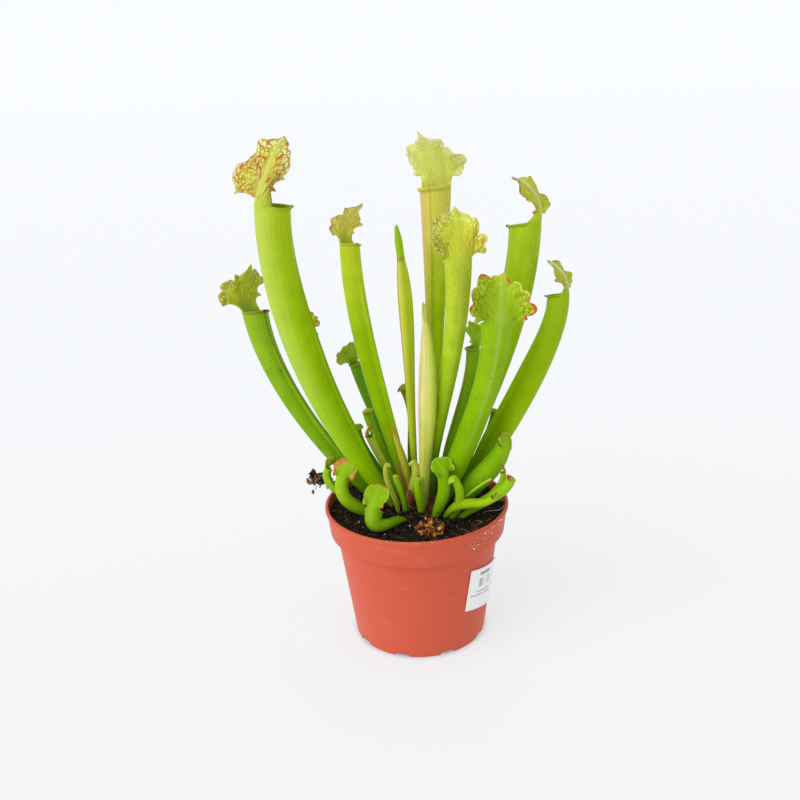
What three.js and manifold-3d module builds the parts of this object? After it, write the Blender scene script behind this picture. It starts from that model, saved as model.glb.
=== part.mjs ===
// A young trumpet pitcher plant standing in its 11 cm nursery pot.
// Millimetres, +Z up, +X to the right of the front view, which looks along +Y.
// The origin is the middle of the pot's underside, on the surface that it stands on.
//
// Every leaf of this plant is a pitcher: a tube with a wing down its inner side, a rolled
// lip round its mouth, and a waved hood that grows from the back of the mouth and arches
// over it. All of them share one surface formula and differ in path, girth and hood.

import * as THREE from 'three';
import { mergeVertices } from 'three/addons/utils/BufferGeometryUtils.js';
import Module from 'manifold-3d';

const wasm = await Module();
wasm.setup();
const { Manifold, Mesh: SolidMesh } = wasm;

// ---- driving dimensions ----------------------------------------------------------------

const GAP = 0.35; // room between pieces that touch on the real plant

const POT = {
  height: 84,
  rimRadius: 55,
  rimInnerRadius: 53.2,
  bandHeight: 17,
  bandFootRadius: 52.5,
  bodyTopRadius: 48.6,
  footRadius: 39.8,
  wall: 1.3,
  floorUnderside: 3,
  floorThickness: 1.6,
  restDiscRadius: 9,
  drainHoles: 6,
  drainRadius: 3.2,
  drainCircle: 27,
  notches: 9,
  notchWidth: 7,
  notchHeight: 1.8,
  firstNotch: -108,
  sides: 36,
};

const SOIL = { edgeLevel: 79, crownRise: 2 };
const HOLE_SIDES = 6;

const CROWN = { x: 4, y: 4, radius: 14, top: 84, bottom: 68, sides: 14 };

const FOOT_LEVEL = 73; // every leaf is rooted this high above the surface the pot stands on

// How the three sizes of pitcher are divided into faces.
const TALL_MESH = { rows: 9, holeRows: 2, cavityRows: 4, hoodRows: 4, hoodSpans: 8, front: [95, 132, 168] };
const SLIGHT_MESH = { rows: 7, holeRows: 1, cavityRows: 3, hoodRows: 3, hoodSpans: 8, front: [105, 160] };
const YOUNG_MESH = { rows: 5, holeRows: 2, cavityRows: 2, hoodRows: 3, hoodSpans: 4, front: [120, 160] };

const SPEAR_MESH = { rows: 12, holeRows: 2, sides: 8 };

const LIP = 0.9; // how far the rolled lip stands out
const LIP_DEPTH = 2.2; // how far down the tube the lip reaches
const TALL_WALL = 1.0;
const YOUNG_WALL = 0.7;
const HOOD_FAN = 108; // degrees that the hood's fan opens to each side of its midrib
const HOOD_WAVES = 4; // half waves of the hood's blade on each side of its midrib

const COLOURS = {
  terracotta: 0xd25f42,
  peat: 0x1d1510,
  leaf: 0x86b81a,
  paleLeaf: 0xb4c83c,
  darkLeaf: 0x4f8a1e,
  crown: 0x6b3428,
  crumbs: 0x9a5a26,
  litter: 0x3a2a1c,
  paper: 0xf2f1ee,
};

// Tall pitchers. path: foot, two bends and mouth centre of the tube's middle line.
// girth: the tube's radius at those four places. facing: the way that the mouth opens,
// in degrees from +X towards +Y. hood: its height and its reach to each side, how far it
// starts leaning back, arches, twists and sways, in degrees, and its edge: how far the
// blade runs from its neck in nine directions, from one low corner over the tip to the other.
const TALL_PITCHERS = [
  {
    name: 'pitcher_left_tallest',
    path: [[-7, 4, FOOT_LEVEL], [-48, -10, 126], [-75, -16, 206], [-70, -22, 267]],
    girth: [2.6, 7.2, 9.6, 9.5],
    facing: 12,
    wing: 3,
    mouthTilt: 16,
    hood: {
      height: 33, reach: 14, leanBack: -17, arch: 30, neck: 12, twist: 40, sway: 0, reflex: -0.2,
      edge: [9, 10, 14, 22, 27, 25, 29, 33, 32],
    },
    waves: { depth: 2.6, phase: 0.3 },
    mesh: TALL_MESH,
    shade: 'leaf',
  },
  {
    name: 'pitcher_left_low',
    path: [[-15, 9, FOOT_LEVEL], [-40, 12, 96], [-86, 28, 146], [-92, 35, 196]],
    girth: [2.5, 5.8, 5.6, 7.8],
    facing: -38,
    wing: 3,
    mouthTilt: 12,
    hood: {
      height: 27, reach: 14, leanBack: 9, arch: 32, neck: 11, twist: -5, sway: 24, reflex: 0.1,
      edge: [17, 14, 13, 10, 16, 17, 19, 15, 14],
    },
    waves: { depth: 2.2, phase: 0 },
    mesh: TALL_MESH,
    shade: 'darkLeaf',
  },
  {
    name: 'pitcher_left_hidden',
    path: [[-13, 18, FOOT_LEVEL], [-30, 22, 104], [-58, 30, 138], [-59, 33, 180]],
    girth: [2.0, 3.6, 5.0, 4.8],
    facing: -32,
    wing: 2.5,
    mouthTilt: 12,
    hood: {
      height: 19, reach: 10, leanBack: 6, arch: 40, neck: 5, twist: 0, sway: 10, reflex: 0.2,
      edge: [10, 11, 12, 11, 14, 12, 12, 11, 10],
    },
    waves: { depth: 1.6, phase: 0.4 },
    mesh: SLIGHT_MESH,
    shade: 'paleLeaf',
  },
  {
    name: 'pitcher_centre_left',
    path: [[-2, 14, FOOT_LEVEL], [-16, 16, 130], [-33, 18, 187], [-33, 25, 236]],
    girth: [2.4, 5.6, 6.8, 5.8],
    facing: -48,
    wing: 3,
    mouthTilt: 6,
    hood: {
      height: 24, reach: 10.5, leanBack: 2, arch: 42, neck: 8, twist: 5, sway: 32, reflex: 0.1,
      edge: [10, 9, 12, 12, 17.5, 15, 15, 12, 9],
    },
    waves: { depth: 2.2, phase: -0.3 },
    mesh: TALL_MESH,
    shade: 'leaf',
  },
  {
    name: 'pitcher_back_low',
    path: [[-6, 21, FOOT_LEVEL], [-12, 27, 105], [-28, 44, 131], [-35, 49, 157]],
    girth: [1.9, 2.6, 3.7, 3.6],
    facing: -60,
    wing: 1.8,
    mouthTilt: 10,
    hood: {
      height: 14, reach: 8, leanBack: 4, arch: 60, neck: 3, twist: 0, sway: 0, reflex: 0.3,
      edge: [8, 8.5, 9, 9, 11, 9.5, 9, 8.5, 8],
    },
    waves: { depth: 1.1, phase: 0.2 },
    mesh: SLIGHT_MESH,
    shade: 'darkLeaf',
  },
  {
    name: 'pitcher_back_tallest',
    path: [[7, 17, FOOT_LEVEL], [13, 18, 136], [16, 24, 199], [17, 28, 266]],
    girth: [2.4, 2.4, 6.0, 9.0],
    facing: -112,
    wing: 3.4,
    mouthTilt: 10,
    hood: {
      height: 27, reach: 17.5, leanBack: -5, arch: 34, neck: 10, twist: -18, sway: -12, reflex: 0.1,
      edge: [17, 25, 23, 19, 21, 18.5, 17, 19, 14],
    },
    waves: { depth: 2.2, phase: -0.4 },
    mesh: TALL_MESH,
    shade: 'paleLeaf',
  },
  {
    name: 'pitcher_front_centre',
    path: [[8, 7, FOOT_LEVEL], [7, 1, 126], [28, -13, 173], [26, -22, 236]],
    girth: [2.2, 4.4, 4.8, 7.5],
    facing: 100,
    wing: 2.6,
    mouthTilt: 12,
    hood: {
      height: 25, reach: 14, leanBack: 2, arch: 50, neck: 7, twist: -8, sway: 3, reflex: 0.35,
      edge: [12, 13, 12.5, 17, 20.5, 19.5, 18, 15, 10],
    },
    waves: { depth: 2.2, phase: 0.4 },
    mesh: TALL_MESH,
    shade: 'leaf',
  },
  {
    name: 'pitcher_front_right',
    path: [[13, 0, FOOT_LEVEL], [21, -10, 112], [44, -22, 152], [46, -30, 202]],
    girth: [2.6, 9.6, 5.2, 8.5],
    facing: 94,
    wing: 3,
    mouthTilt: 12,
    hood: {
      height: 26, reach: 17, leanBack: 3, arch: 52, neck: 8, twist: -4, sway: -5, reflex: 0.6,
      edge: [11, 16, 15.5, 17, 18, 21, 19, 17, 13],
    },
    waves: { depth: 2, phase: -0.2 },
    mesh: TALL_MESH,
    shade: 'leaf',
  },
  {
    name: 'pitcher_right_tall',
    path: [[17, 11, FOOT_LEVEL], [36, 6, 128], [65, 8, 189], [66, 12, 247]],
    girth: [2.6, 3.8, 8.6, 9.1],
    facing: 178,
    wing: 3.2,
    mouthTilt: 18,
    hood: {
      height: 28, reach: 11, leanBack: 7, arch: 69, neck: 8, twist: -22, sway: 10, reflex: -0.05,
      edge: [18, 15, 20, 18.5, 26, 25, 18, 11, 10],
    },
    waves: { depth: 2.2, phase: 0.5 },
    mesh: TALL_MESH,
    shade: 'leaf',
  },
  {
    name: 'pitcher_right_far',
    path: [[22, 4, FOOT_LEVEL], [44, 2, 113], [86, 2, 176], [84, 5, 207]],
    girth: [2.5, 8.2, 6.0, 6.3],
    facing: 176,
    wing: 3,
    mouthTilt: 14,
    hood: {
      height: 20, reach: 8.5, leanBack: 0, arch: 50, neck: 5, twist: -20, sway: 6, reflex: -0.05,
      edge: [15, 13, 11.5, 15, 18.5, 17.5, 14, 10, 7.5],
    },
    waves: { depth: 1.8, phase: -0.5 },
    mesh: TALL_MESH,
    shade: 'leaf',
  },
  {
    name: 'pitcher_back_right',
    path: [[14, 19, FOOT_LEVEL], [19, 20, 112], [39, 34, 138], [38, 38, 168]],
    girth: [2.0, 4.4, 4.4, 4.2],
    facing: -140,
    wing: 2,
    mouthTilt: 10,
    hood: {
      height: 15, reach: 8, leanBack: 4, arch: 56, neck: 3, twist: 0, sway: 0, reflex: 0.3,
      edge: [8, 8.5, 9, 9.5, 12, 10, 9, 8.5, 8],
    },
    waves: { depth: 1.3, phase: 0.6 },
    mesh: SLIGHT_MESH,
    shade: 'darkLeaf',
  },
];

// Young pitchers round the crown, with the hood still bent close over the mouth.
const YOUNG_PITCHERS = [
  { name: 'young_front_left', path: [[-8, -9, FOOT_LEVEL], [-10, -36, 98], [-34, -40, 80], [-24, -27, 101]],
    girth: [1.5, 3.2, 6.6, 4.8], facing: 35, hoodHeight: 13, reach: 8, shade: 'leaf' },
  { name: 'young_left_capped', path: [[-19, -3, FOOT_LEVEL], [-34, -14, 86], [-48, -9, 88], [-43, -6, 105]],
    girth: [1.6, 3.4, 4.4, 3.8], facing: 20, hoodHeight: 11, reach: 7, shade: 'leaf' },
  { name: 'young_left_edge', path: [[-21, 5, FOOT_LEVEL], [-44, 2, 86], [-57, 7, 96], [-51, 8, 108]],
    girth: [1.4, 2.4, 2.8, 2.2], facing: 10, hoodHeight: 6, reach: 3, shade: 'leaf' },
  { name: 'young_behind_left', path: [[-11, 13, FOOT_LEVEL], [-19, 13, 100], [-33, 12, 112], [-34, 11, 128]],
    girth: [1.3, 1.8, 2.2, 2.6], facing: -20, hoodHeight: 8, reach: 4.5, shade: 'darkLeaf' },
  { name: 'young_middle_left', path: [[-7, 16, FOOT_LEVEL], [-12, 18, 98], [-23, 25, 108], [-26, 26, 122]],
    girth: [1.3, 1.7, 2.2, 2.6], facing: -40, hoodHeight: 7, reach: 4, shade: 'leaf' },
  { name: 'young_inner_left', path: [[-8, 9, FOOT_LEVEL], [-13, 10, 94], [-22, 7, 110], [-26, 5, 124]],
    girth: [1.2, 1.8, 2.2, 2.4], facing: 0, hoodHeight: 7, reach: 4, shade: 'paleLeaf' },
  { name: 'young_back_stem', path: [[1, 22, FOOT_LEVEL], [-9, 23, 108], [3, 25, 122], [-5, 25, 143]],
    girth: [1.5, 2.0, 2.2, 2.3], facing: -70, hoodHeight: 8, reach: 5, shade: 'darkLeaf' },
  { name: 'young_hooked_left', path: [[-12, -8, FOOT_LEVEL], [-8, -8, 90], [-20, -10, 98], [-17, -10, 110]],
    girth: [1.2, 1.5, 1.9, 1.4], facing: 20, hoodHeight: 5, reach: 2.2, shade: 'paleLeaf' },
  { name: 'young_knob', path: [[-7, -6, FOOT_LEVEL], [-7, -9, 90], [-11, -9, 96], [-12, -9, 105]],
    girth: [1.3, 1.7, 1.8, 1.9], facing: 0, hoodHeight: 5, reach: 3, shade: 'leaf' },
  { name: 'young_hook_centre', path: [[-3, -4, FOOT_LEVEL], [-7, -6, 90], [2, -7, 98], [-1, -6, 109]],
    girth: [1.4, 1.8, 2.0, 2.0], facing: 160, hoodHeight: 6, reach: 2.6, shade: 'leaf' },
  { name: 'young_hook_right', path: [[2, -9, FOOT_LEVEL], [4, -12, 86], [-1, -13, 94], [1, -12, 103]],
    girth: [1.5, 2.2, 2.2, 2.1], facing: 30, hoodHeight: 5, reach: 2.8, shade: 'leaf' },
  { name: 'young_flared', path: [[8, -12, FOOT_LEVEL], [13, -19, 88], [18, -20, 96], [13, -20, 110]],
    girth: [1.8, 3.2, 4.2, 3.8], facing: 178, hoodHeight: 10, reach: 6, shade: 'leaf' },
  { name: 'young_flared_right', path: [[15, -13, FOOT_LEVEL], [26, -22, 86], [30, -25, 96], [22, -25, 106]],
    girth: [1.5, 2.6, 3.2, 2.6], facing: 170, hoodHeight: 8, reach: 4.5, shade: 'leaf' },
  { name: 'young_right_open', path: [[20, -4, FOOT_LEVEL], [31, -10, 98], [46, -13, 102], [52, -14, 120]],
    girth: [2.0, 4.2, 5.0, 4.6], facing: 150, hoodHeight: 9, reach: 5.5, shade: 'leaf' },
  { name: 'young_right_inner', path: [[23, 12, FOOT_LEVEL], [30, 12, 90], [37, 14, 96], [42, 16, 106]],
    girth: [1.4, 2.4, 2.8, 2.6], facing: 190, hoodHeight: 7, reach: 3.6, shade: 'darkLeaf' },
  { name: 'young_right_behind', path: [[21, 20, FOOT_LEVEL], [34, 24, 92], [47, 25, 108], [50, 25, 124]],
    girth: [1.4, 1.9, 2.2, 2.4], facing: 200, hoodHeight: 7, reach: 4, shade: 'darkLeaf' },
  { name: 'young_right_spur', path: [[21, -10, FOOT_LEVEL], [38, -17, 88], [50, -20, 92], [50, -21, 106]],
    girth: [1.3, 2.0, 2.4, 2.0], facing: 160, hoodHeight: 5.5, reach: 2.8, shade: 'leaf' },
  { name: 'young_right_low', path: [[19, -14, FOOT_LEVEL], [37, -22, 86], [49, -27, 92], [54, -28, 103]],
    girth: [1.4, 2.4, 2.8, 2.6], facing: 150, hoodHeight: 6, reach: 4, shade: 'leaf' },
  { name: 'young_right_lying', path: [[12, -18, FOOT_LEVEL], [22, -29, 88], [36, -35, 84], [41, -35, 95]],
    girth: [1.4, 2.2, 2.6, 2.2], facing: 150, hoodHeight: 5, reach: 3, shade: 'paleLeaf' },
];

// Leaves that haven't opened yet: flattened spears with a pinched tip.
const SPEARS = [
  { name: 'spear_green', path: [[1, 10, FOOT_LEVEL], [-3, 6, 130], [1, 8, 192], [-6, 9, 246]],
    girth: [1.8, 3.0, 6.2, 0.5], pinch: 0.82, wing: 0.6, shade: 'paleLeaf', facing: 215 },
  { name: 'spear_pale', path: [[4, -1, FOOT_LEVEL], [5, -10, 119], [11, -14, 168], [7, -14, 206]],
    girth: [2.0, 2.9, 6.6, 0.5], pinch: 0.86, wing: 0.7, shade: 'paleLeaf', facing: 250 },
  { name: 'spear_withered', path: [[-3, 0, FOOT_LEVEL], [-2, 0, 98], [-9, 2, 116], [-13, 4, 131]],
    girth: [1.1, 1.6, 1.5, 0.4], pinch: 2, wing: 0.3, shade: 'crumbs', facing: 220 },
];

const LUMP = { x: 7, y: -33, level: 81.5, radii: [9, 7.5, 6] };
const LABEL = { from: 36, to: 84, bottom: 26, height: 27, thickness: 0.6, stand: 0.3, steps: 8, slant: 3 };

// ---- small helpers ---------------------------------------------------------------------

const rad = THREE.MathUtils.degToRad;
const vec = (p) => new THREE.Vector3(...p);

function material(colour, roughness) {
  return new THREE.MeshStandardMaterial({ color: colour, roughness, metalness: 0 });
}

function bezierNumber(values, t) {
  const s = 1 - t;
  return s ** 3 * values[0] + 3 * s * s * t * values[1] + 3 * s * t * t * values[2] + t ** 3 * values[3];
}

function smoothStep(low, high, x) {
  const t = Math.min(1, Math.max(0, (x - low) / (high - low)));
  return t * t * (3 - 2 * t);
}

// A list of points and triangles as it grows, turned into a solid or a geometry at the end.
class Skin {
  constructor() {
    this.points = [];
    this.faces = [];
  }

  point(p) {
    this.points.push(p);
    return this.points.length - 1;
  }

  quad(a, b, c, d) {
    this.faces.push([a, b, c], [a, c, d]);
  }

  fan(centre, ring) {
    for (let i = 0; i < ring.length; i += 1) {
      this.faces.push([centre, ring[i], ring[(i + 1) % ring.length]]);
    }
  }

  volume() {
    let sum = 0;
    for (const [a, b, c] of this.faces) {
      sum += this.points[a].dot(this.points[b].clone().cross(this.points[c])) / 6;
    }
    return sum;
  }

  geometry() {
    const inward = this.volume() < 0;
    const geometry = new THREE.BufferGeometry();
    const xyz = this.points.flatMap((p) => [p.x, p.y, p.z]);
    const index = this.faces.flatMap(([a, b, c]) => (inward ? [a, c, b] : [a, b, c]));
    geometry.setAttribute('position', new THREE.Float32BufferAttribute(xyz, 3));
    geometry.setIndex(index);
    return geometry;
  }
}

function solidOf(geometry) {
  const bare = geometry.clone();
  bare.deleteAttribute('normal');
  bare.deleteAttribute('uv');
  const merged = mergeVertices(bare, 1e-4);
  return new Manifold(new SolidMesh({
    numProp: 3,
    vertProperties: new Float32Array(merged.attributes.position.array),
    triVerts: new Uint32Array(merged.index.array),
  }));
}

function geometryOf(solid) {
  const mesh = solid.getMesh();
  const geometry = new THREE.BufferGeometry();
  geometry.setAttribute('position', new THREE.Float32BufferAttribute(mesh.vertProperties, 3));
  geometry.setIndex([...mesh.triVerts]);
  return geometry;
}

function largestPiece(solid) {
  const pieces = solid.decompose();
  return pieces.reduce((best, piece) => (piece.volume() > best.volume() ? piece : best));
}

// ---- the pitcher's surface -------------------------------------------------------------

// The tube's middle line and its frame: up along the tube, front towards the mouth's
// opening side, side across it.
class Tube {
  constructor(path, girth, facing) {
    this.curve = new THREE.CubicBezierCurve3(...path.map(vec));
    this.girth = girth;
    this.facing = new THREE.Vector3(Math.cos(rad(facing)), Math.sin(rad(facing)), 0);
    this.length = this.curve.getLength();
  }

  frame(t) {
    const up = this.curve.getTangent(t);
    const front = this.facing.clone().addScaledVector(up, -this.facing.dot(up)).normalize();
    return { at: this.curve.getPoint(t), up, front, side: up.clone().cross(front) };
  }

  radius(t) {
    return bezierNumber(this.girth, t);
  }

  // A point at an angle from the tube's back, at a given distance from the middle line.
  point(t, angle, distance) {
    const { at, front, side } = this.frame(t);
    return at.addScaledVector(front, -Math.cos(angle) * distance)
      .addScaledVector(side, Math.sin(angle) * distance);
  }
}

// The wing is a low keel down the front of the tube, highest below its middle.
function wingHeight(wing, t) {
  return wing * smoothStep(0.1, 0.35, t) * (1 - smoothStep(0.55, 0.97, t));
}

// The blade's length in the direction u, from -1 to 1, between the listed directions.
function edgeAt(edge, u) {
  const place = (u + 1) / 2 * (edge.length - 1);
  const low = Math.min(edge.length - 2, Math.floor(place));
  return THREE.MathUtils.lerp(edge[low], edge[low + 1], place - low);
}

// The hood is a fan. u runs from -1 to 1 across it, v from 0 at the mouth to 1 at its
// waved edge. It starts as the back of the tube, narrows to a neck and then spreads.
function hoodPoint(tube, spec, neckAngle, drop, u, v, inset) {
  const { hood, waves } = spec;
  const { at, up, front, side } = tube.frame(1);
  const radius = tube.radius(1);
  const start = u * neckAngle;
  const fade = (1 - v) ** 2;
  const spread = u * rad(HOOD_FAN) + rad(hood.sway) * v * (1 - u * u);
  const wave = Math.cos(HOOD_WAVES * Math.PI * u + waves.phase);
  const edge = edgeAt(hood.edge, u);
  const across = fade * radius * Math.sin(start) + edge * v * Math.sin(spread);
  const along = hood.neck * (1 - fade) + edge * v * Math.cos(spread) - drop * fade;
  const deep = fade * radius * (1 - Math.cos(start))
    - (1 - fade) * hood.reflex * across * across / hood.reach
    + waves.depth * v * v * wave * Math.min(1, Math.abs(u) * 2.5);

  const twist = rad(hood.twist) * (1 - fade);
  const turnedFront = front.clone().multiplyScalar(Math.cos(twist)).addScaledVector(side, Math.sin(twist));
  const turnedSide = up.clone().cross(turnedFront);
  const begin = -rad(hood.leanBack);
  const bend = rad(hood.arch) / hood.height;
  const reach = Math.max(0, along);
  const below = Math.min(0, along);
  const angle = begin + bend * reach;
  const ribUp = (Math.sin(angle) - Math.sin(begin)) / bend + below * Math.cos(begin);
  const ribFront = (Math.cos(begin) - Math.cos(angle)) / bend + below * Math.sin(begin);

  // Towards the mouth: from the tube's axis at the neck to the blade's own inner side.
  const inTube = front.clone().multiplyScalar(Math.cos(start)).addScaledVector(side, -Math.sin(start));
  const inBlade = turnedFront.clone().multiplyScalar(Math.cos(angle)).addScaledVector(up, -Math.sin(angle));
  const inward = inTube.multiplyScalar(fade).addScaledVector(inBlade, 1 - fade).normalize();

  return at.addScaledVector(front, -radius)
    .addScaledVector(up, ribUp)
    .addScaledVector(turnedFront, ribFront + deep * Math.cos(angle))
    .addScaledVector(up, -deep * Math.sin(angle))
    .addScaledVector(turnedSide, across)
    .addScaledVector(inward, inset);
}

function pitcherGeometry(spec, mesh, wall, neckDegrees, cavityFrom) {
  const tube = new Tube(spec.path, spec.girth, spec.facing);
  const neckAngle = rad(neckDegrees);
  const skin = new Skin();

  // Angles from the tube's back, in turn round the tube, starting at the wing's edge.
  const hoodAngles = Array.from({ length: mesh.hoodSpans + 1 },
    (_, i) => neckAngle * (2 * i / mesh.hoodSpans - 1));
  const frontAngles = mesh.front.map(rad);
  const angles = [-Math.PI, ...frontAngles.map((a) => -a).reverse(), ...hoodAngles, ...frontAngles];
  const firstHood = 1 + frontAngles.length;
  const lastHood = firstHood + mesh.hoodSpans;
  const n = angles.length;
  const isHood = (j) => j >= firstHood && j <= lastHood;
  const drop = (a) => tube.radius(1) * Math.tan(rad(spec.mouthTilt)) * (1 - Math.cos(a));
  const top = (a) => 1 - drop(a) / tube.length;
  const lipShare = (a) => smoothStep(neckAngle, neckAngle + 0.4, Math.abs(a));

  // Outer side, from the foot to the lip.
  const outer = [];
  for (let i = 0; i <= mesh.rows; i += 1) {
    outer.push(angles.map((a, j) => {
      const last = i === mesh.rows;
      const below = top(a) - LIP_DEPTH / tube.length;
      const t = last ? top(a) : below * i / (mesh.rows - 1);
      const keel = j === 0 ? wingHeight(spec.wing, t) : 0;
      const lip = last ? LIP * lipShare(a) : 0;
      return skin.point(tube.point(t, a, tube.radius(t) + keel + lip));
    }));
  }

  // Inner side, from the cavity's floor to the lip.
  const inner = [];
  for (let i = 0; i <= mesh.cavityRows; i += 1) {
    inner.push(angles.map((a) => {
      const last = i === mesh.cavityRows;
      const below = top(a) - LIP_DEPTH / tube.length;
      const t = last ? top(a) : cavityFrom + (below - cavityFrom) * i / (mesh.cavityRows - 1);
      const inset = last ? wall * (1 - 0.6 * lipShare(a)) : wall;
      return skin.point(tube.point(t, a, tube.radius(t) - inset));
    }));
  }

  for (let j = 0; j < n; j += 1) {
    const k = (j + 1) % n;
    for (let i = 0; i < mesh.rows; i += 1) {
      skin.quad(outer[i][j], outer[i][k], outer[i + 1][k], outer[i + 1][j]);
    }
    for (let i = 0; i < mesh.cavityRows; i += 1) {
      skin.quad(inner[i][k], inner[i][j], inner[i + 1][j], inner[i + 1][k]);
    }
    if (!(isHood(j) && isHood(k))) {
      skin.quad(outer[mesh.rows][j], outer[mesh.rows][k], inner[mesh.cavityRows][k], inner[mesh.cavityRows][j]);
    }
  }
  const foot = skin.point(tube.curve.getPoint(0));
  skin.fan(foot, [...outer[0]].reverse());
  const cavityFloor = skin.point(tube.curve.getPoint(cavityFrom));
  skin.fan(cavityFloor, inner[0]);

  // The hood's two faces, then the thin band between them along its sides and its edge.
  const outerHood = [outer[mesh.rows].slice(firstHood, lastHood + 1)];
  const innerHood = [inner[mesh.cavityRows].slice(firstHood, lastHood + 1)];
  for (let row = 1; row <= mesh.hoodRows; row += 1) {
    const v = row / mesh.hoodRows;
    outerHood.push(hoodAngles.map((a) => skin.point(
      hoodPoint(tube, spec, neckAngle, drop(a), a / neckAngle, v, 0))));
    innerHood.push(hoodAngles.map((a) => skin.point(
      hoodPoint(tube, spec, neckAngle, drop(a), a / neckAngle, v, wall))));
  }
  for (let row = 0; row < mesh.hoodRows; row += 1) {
    for (let j = 0; j < mesh.hoodSpans; j += 1) {
      skin.quad(outerHood[row][j], outerHood[row][j + 1], outerHood[row + 1][j + 1], outerHood[row + 1][j]);
      skin.faces.push(
        [innerHood[row][j], innerHood[row + 1][j + 1], innerHood[row][j + 1]],
        [innerHood[row][j], innerHood[row + 1][j], innerHood[row + 1][j + 1]],
      );
    }
    const e = mesh.hoodSpans;
    skin.quad(innerHood[row][0], outerHood[row][0], outerHood[row + 1][0], innerHood[row + 1][0]);
    skin.quad(outerHood[row][e], innerHood[row][e], innerHood[row + 1][e], outerHood[row + 1][e]);
  }
  const edge = mesh.hoodRows;
  for (let j = 0; j < mesh.hoodSpans; j += 1) {
    skin.quad(outerHood[edge][j], outerHood[edge][j + 1], innerHood[edge][j + 1], innerHood[edge][j]);
  }
  return skin.geometry();
}

// The plain hole that a leaf's foot stands in: the tube's lower rows, a little wider.
function footHole(spec, mesh) {
  const tube = new Tube(spec.path, spec.girth, spec.facing);
  const skin = new Skin();
  const rings = [];
  for (let i = 0; i <= mesh.holeRows; i += 1) {
    const t = i / (mesh.rows - 1);
    rings.push(Array.from({ length: HOLE_SIDES }, (_, j) => {
      const angle = 2 * Math.PI * j / HOLE_SIDES;
      const radius = (tube.radius(t) + wingHeight(spec.wing, t) + GAP) / Math.cos(Math.PI / HOLE_SIDES);
      const deeper = i === 0 ? -GAP : 0;
      return skin.point(tube.point(t, angle, radius).addScaledVector(tube.curve.getTangent(t), deeper));
    }));
  }
  for (let j = 0; j < HOLE_SIDES; j += 1) {
    const k = (j + 1) % HOLE_SIDES;
    for (let i = 0; i < mesh.holeRows; i += 1) {
      skin.quad(rings[i][j], rings[i][k], rings[i + 1][k], rings[i + 1][j]);
    }
  }
  const low = skin.point(tube.curve.getPoint(0).addScaledVector(tube.curve.getTangent(0), -GAP));
  skin.fan(low, [...rings[0]].reverse());
  const high = skin.point(tube.curve.getPoint(mesh.holeRows / (mesh.rows - 1)));
  skin.fan(high, rings[mesh.holeRows]);
  return solidOf(skin.geometry());
}

// ---- the unopened leaves ---------------------------------------------------------------

function spearGeometry(spec) {
  const tube = new Tube(spec.path, spec.girth, spec.facing);
  const skin = new Skin();
  const { rows, sides } = SPEAR_MESH;
  const rings = [];
  for (let i = 0; i < rows; i += 1) {
    const t = i / rows;
    const flat = 1 - 0.35 * smoothStep(0.2, 0.6, t);
    const waist = 1 - 0.3 * Math.exp(-(((t - spec.pinch) / 0.05) ** 2));
    rings.push(Array.from({ length: sides }, (_, j) => {
      const angle = 2 * Math.PI * j / sides;
      const keel = j === sides / 2 ? spec.wing * smoothStep(0.15, 0.4, t) : 0;
      const radius = tube.radius(t) * waist * Math.hypot(Math.cos(angle), flat * Math.sin(angle));
      return skin.point(tube.point(t, angle, radius + keel));
    }));
  }
  for (let j = 0; j < sides; j += 1) {
    const k = (j + 1) % sides;
    for (let i = 0; i < rows - 1; i += 1) {
      skin.quad(rings[i][j], rings[i][k], rings[i + 1][k], rings[i + 1][j]);
    }
  }
  skin.fan(skin.point(tube.curve.getPoint(0)), [...rings[0]].reverse());
  skin.fan(skin.point(tube.curve.getPoint(1)), rings[rows - 1]);
  return skin.geometry();
}

// ---- pot, soil, crown and what lies on them ---------------------------------------------

function lathe(profile, sides) {
  const geometry = new THREE.LatheGeometry(profile.map(([r, z]) => new THREE.Vector2(r, z)), sides);
  geometry.rotateX(Math.PI / 2);
  return geometry;
}

function potRadius(z) {
  const bodyTop = POT.height - POT.bandHeight;
  return THREE.MathUtils.lerp(POT.footRadius, POT.bodyTopRadius, z / bodyTop);
}

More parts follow.
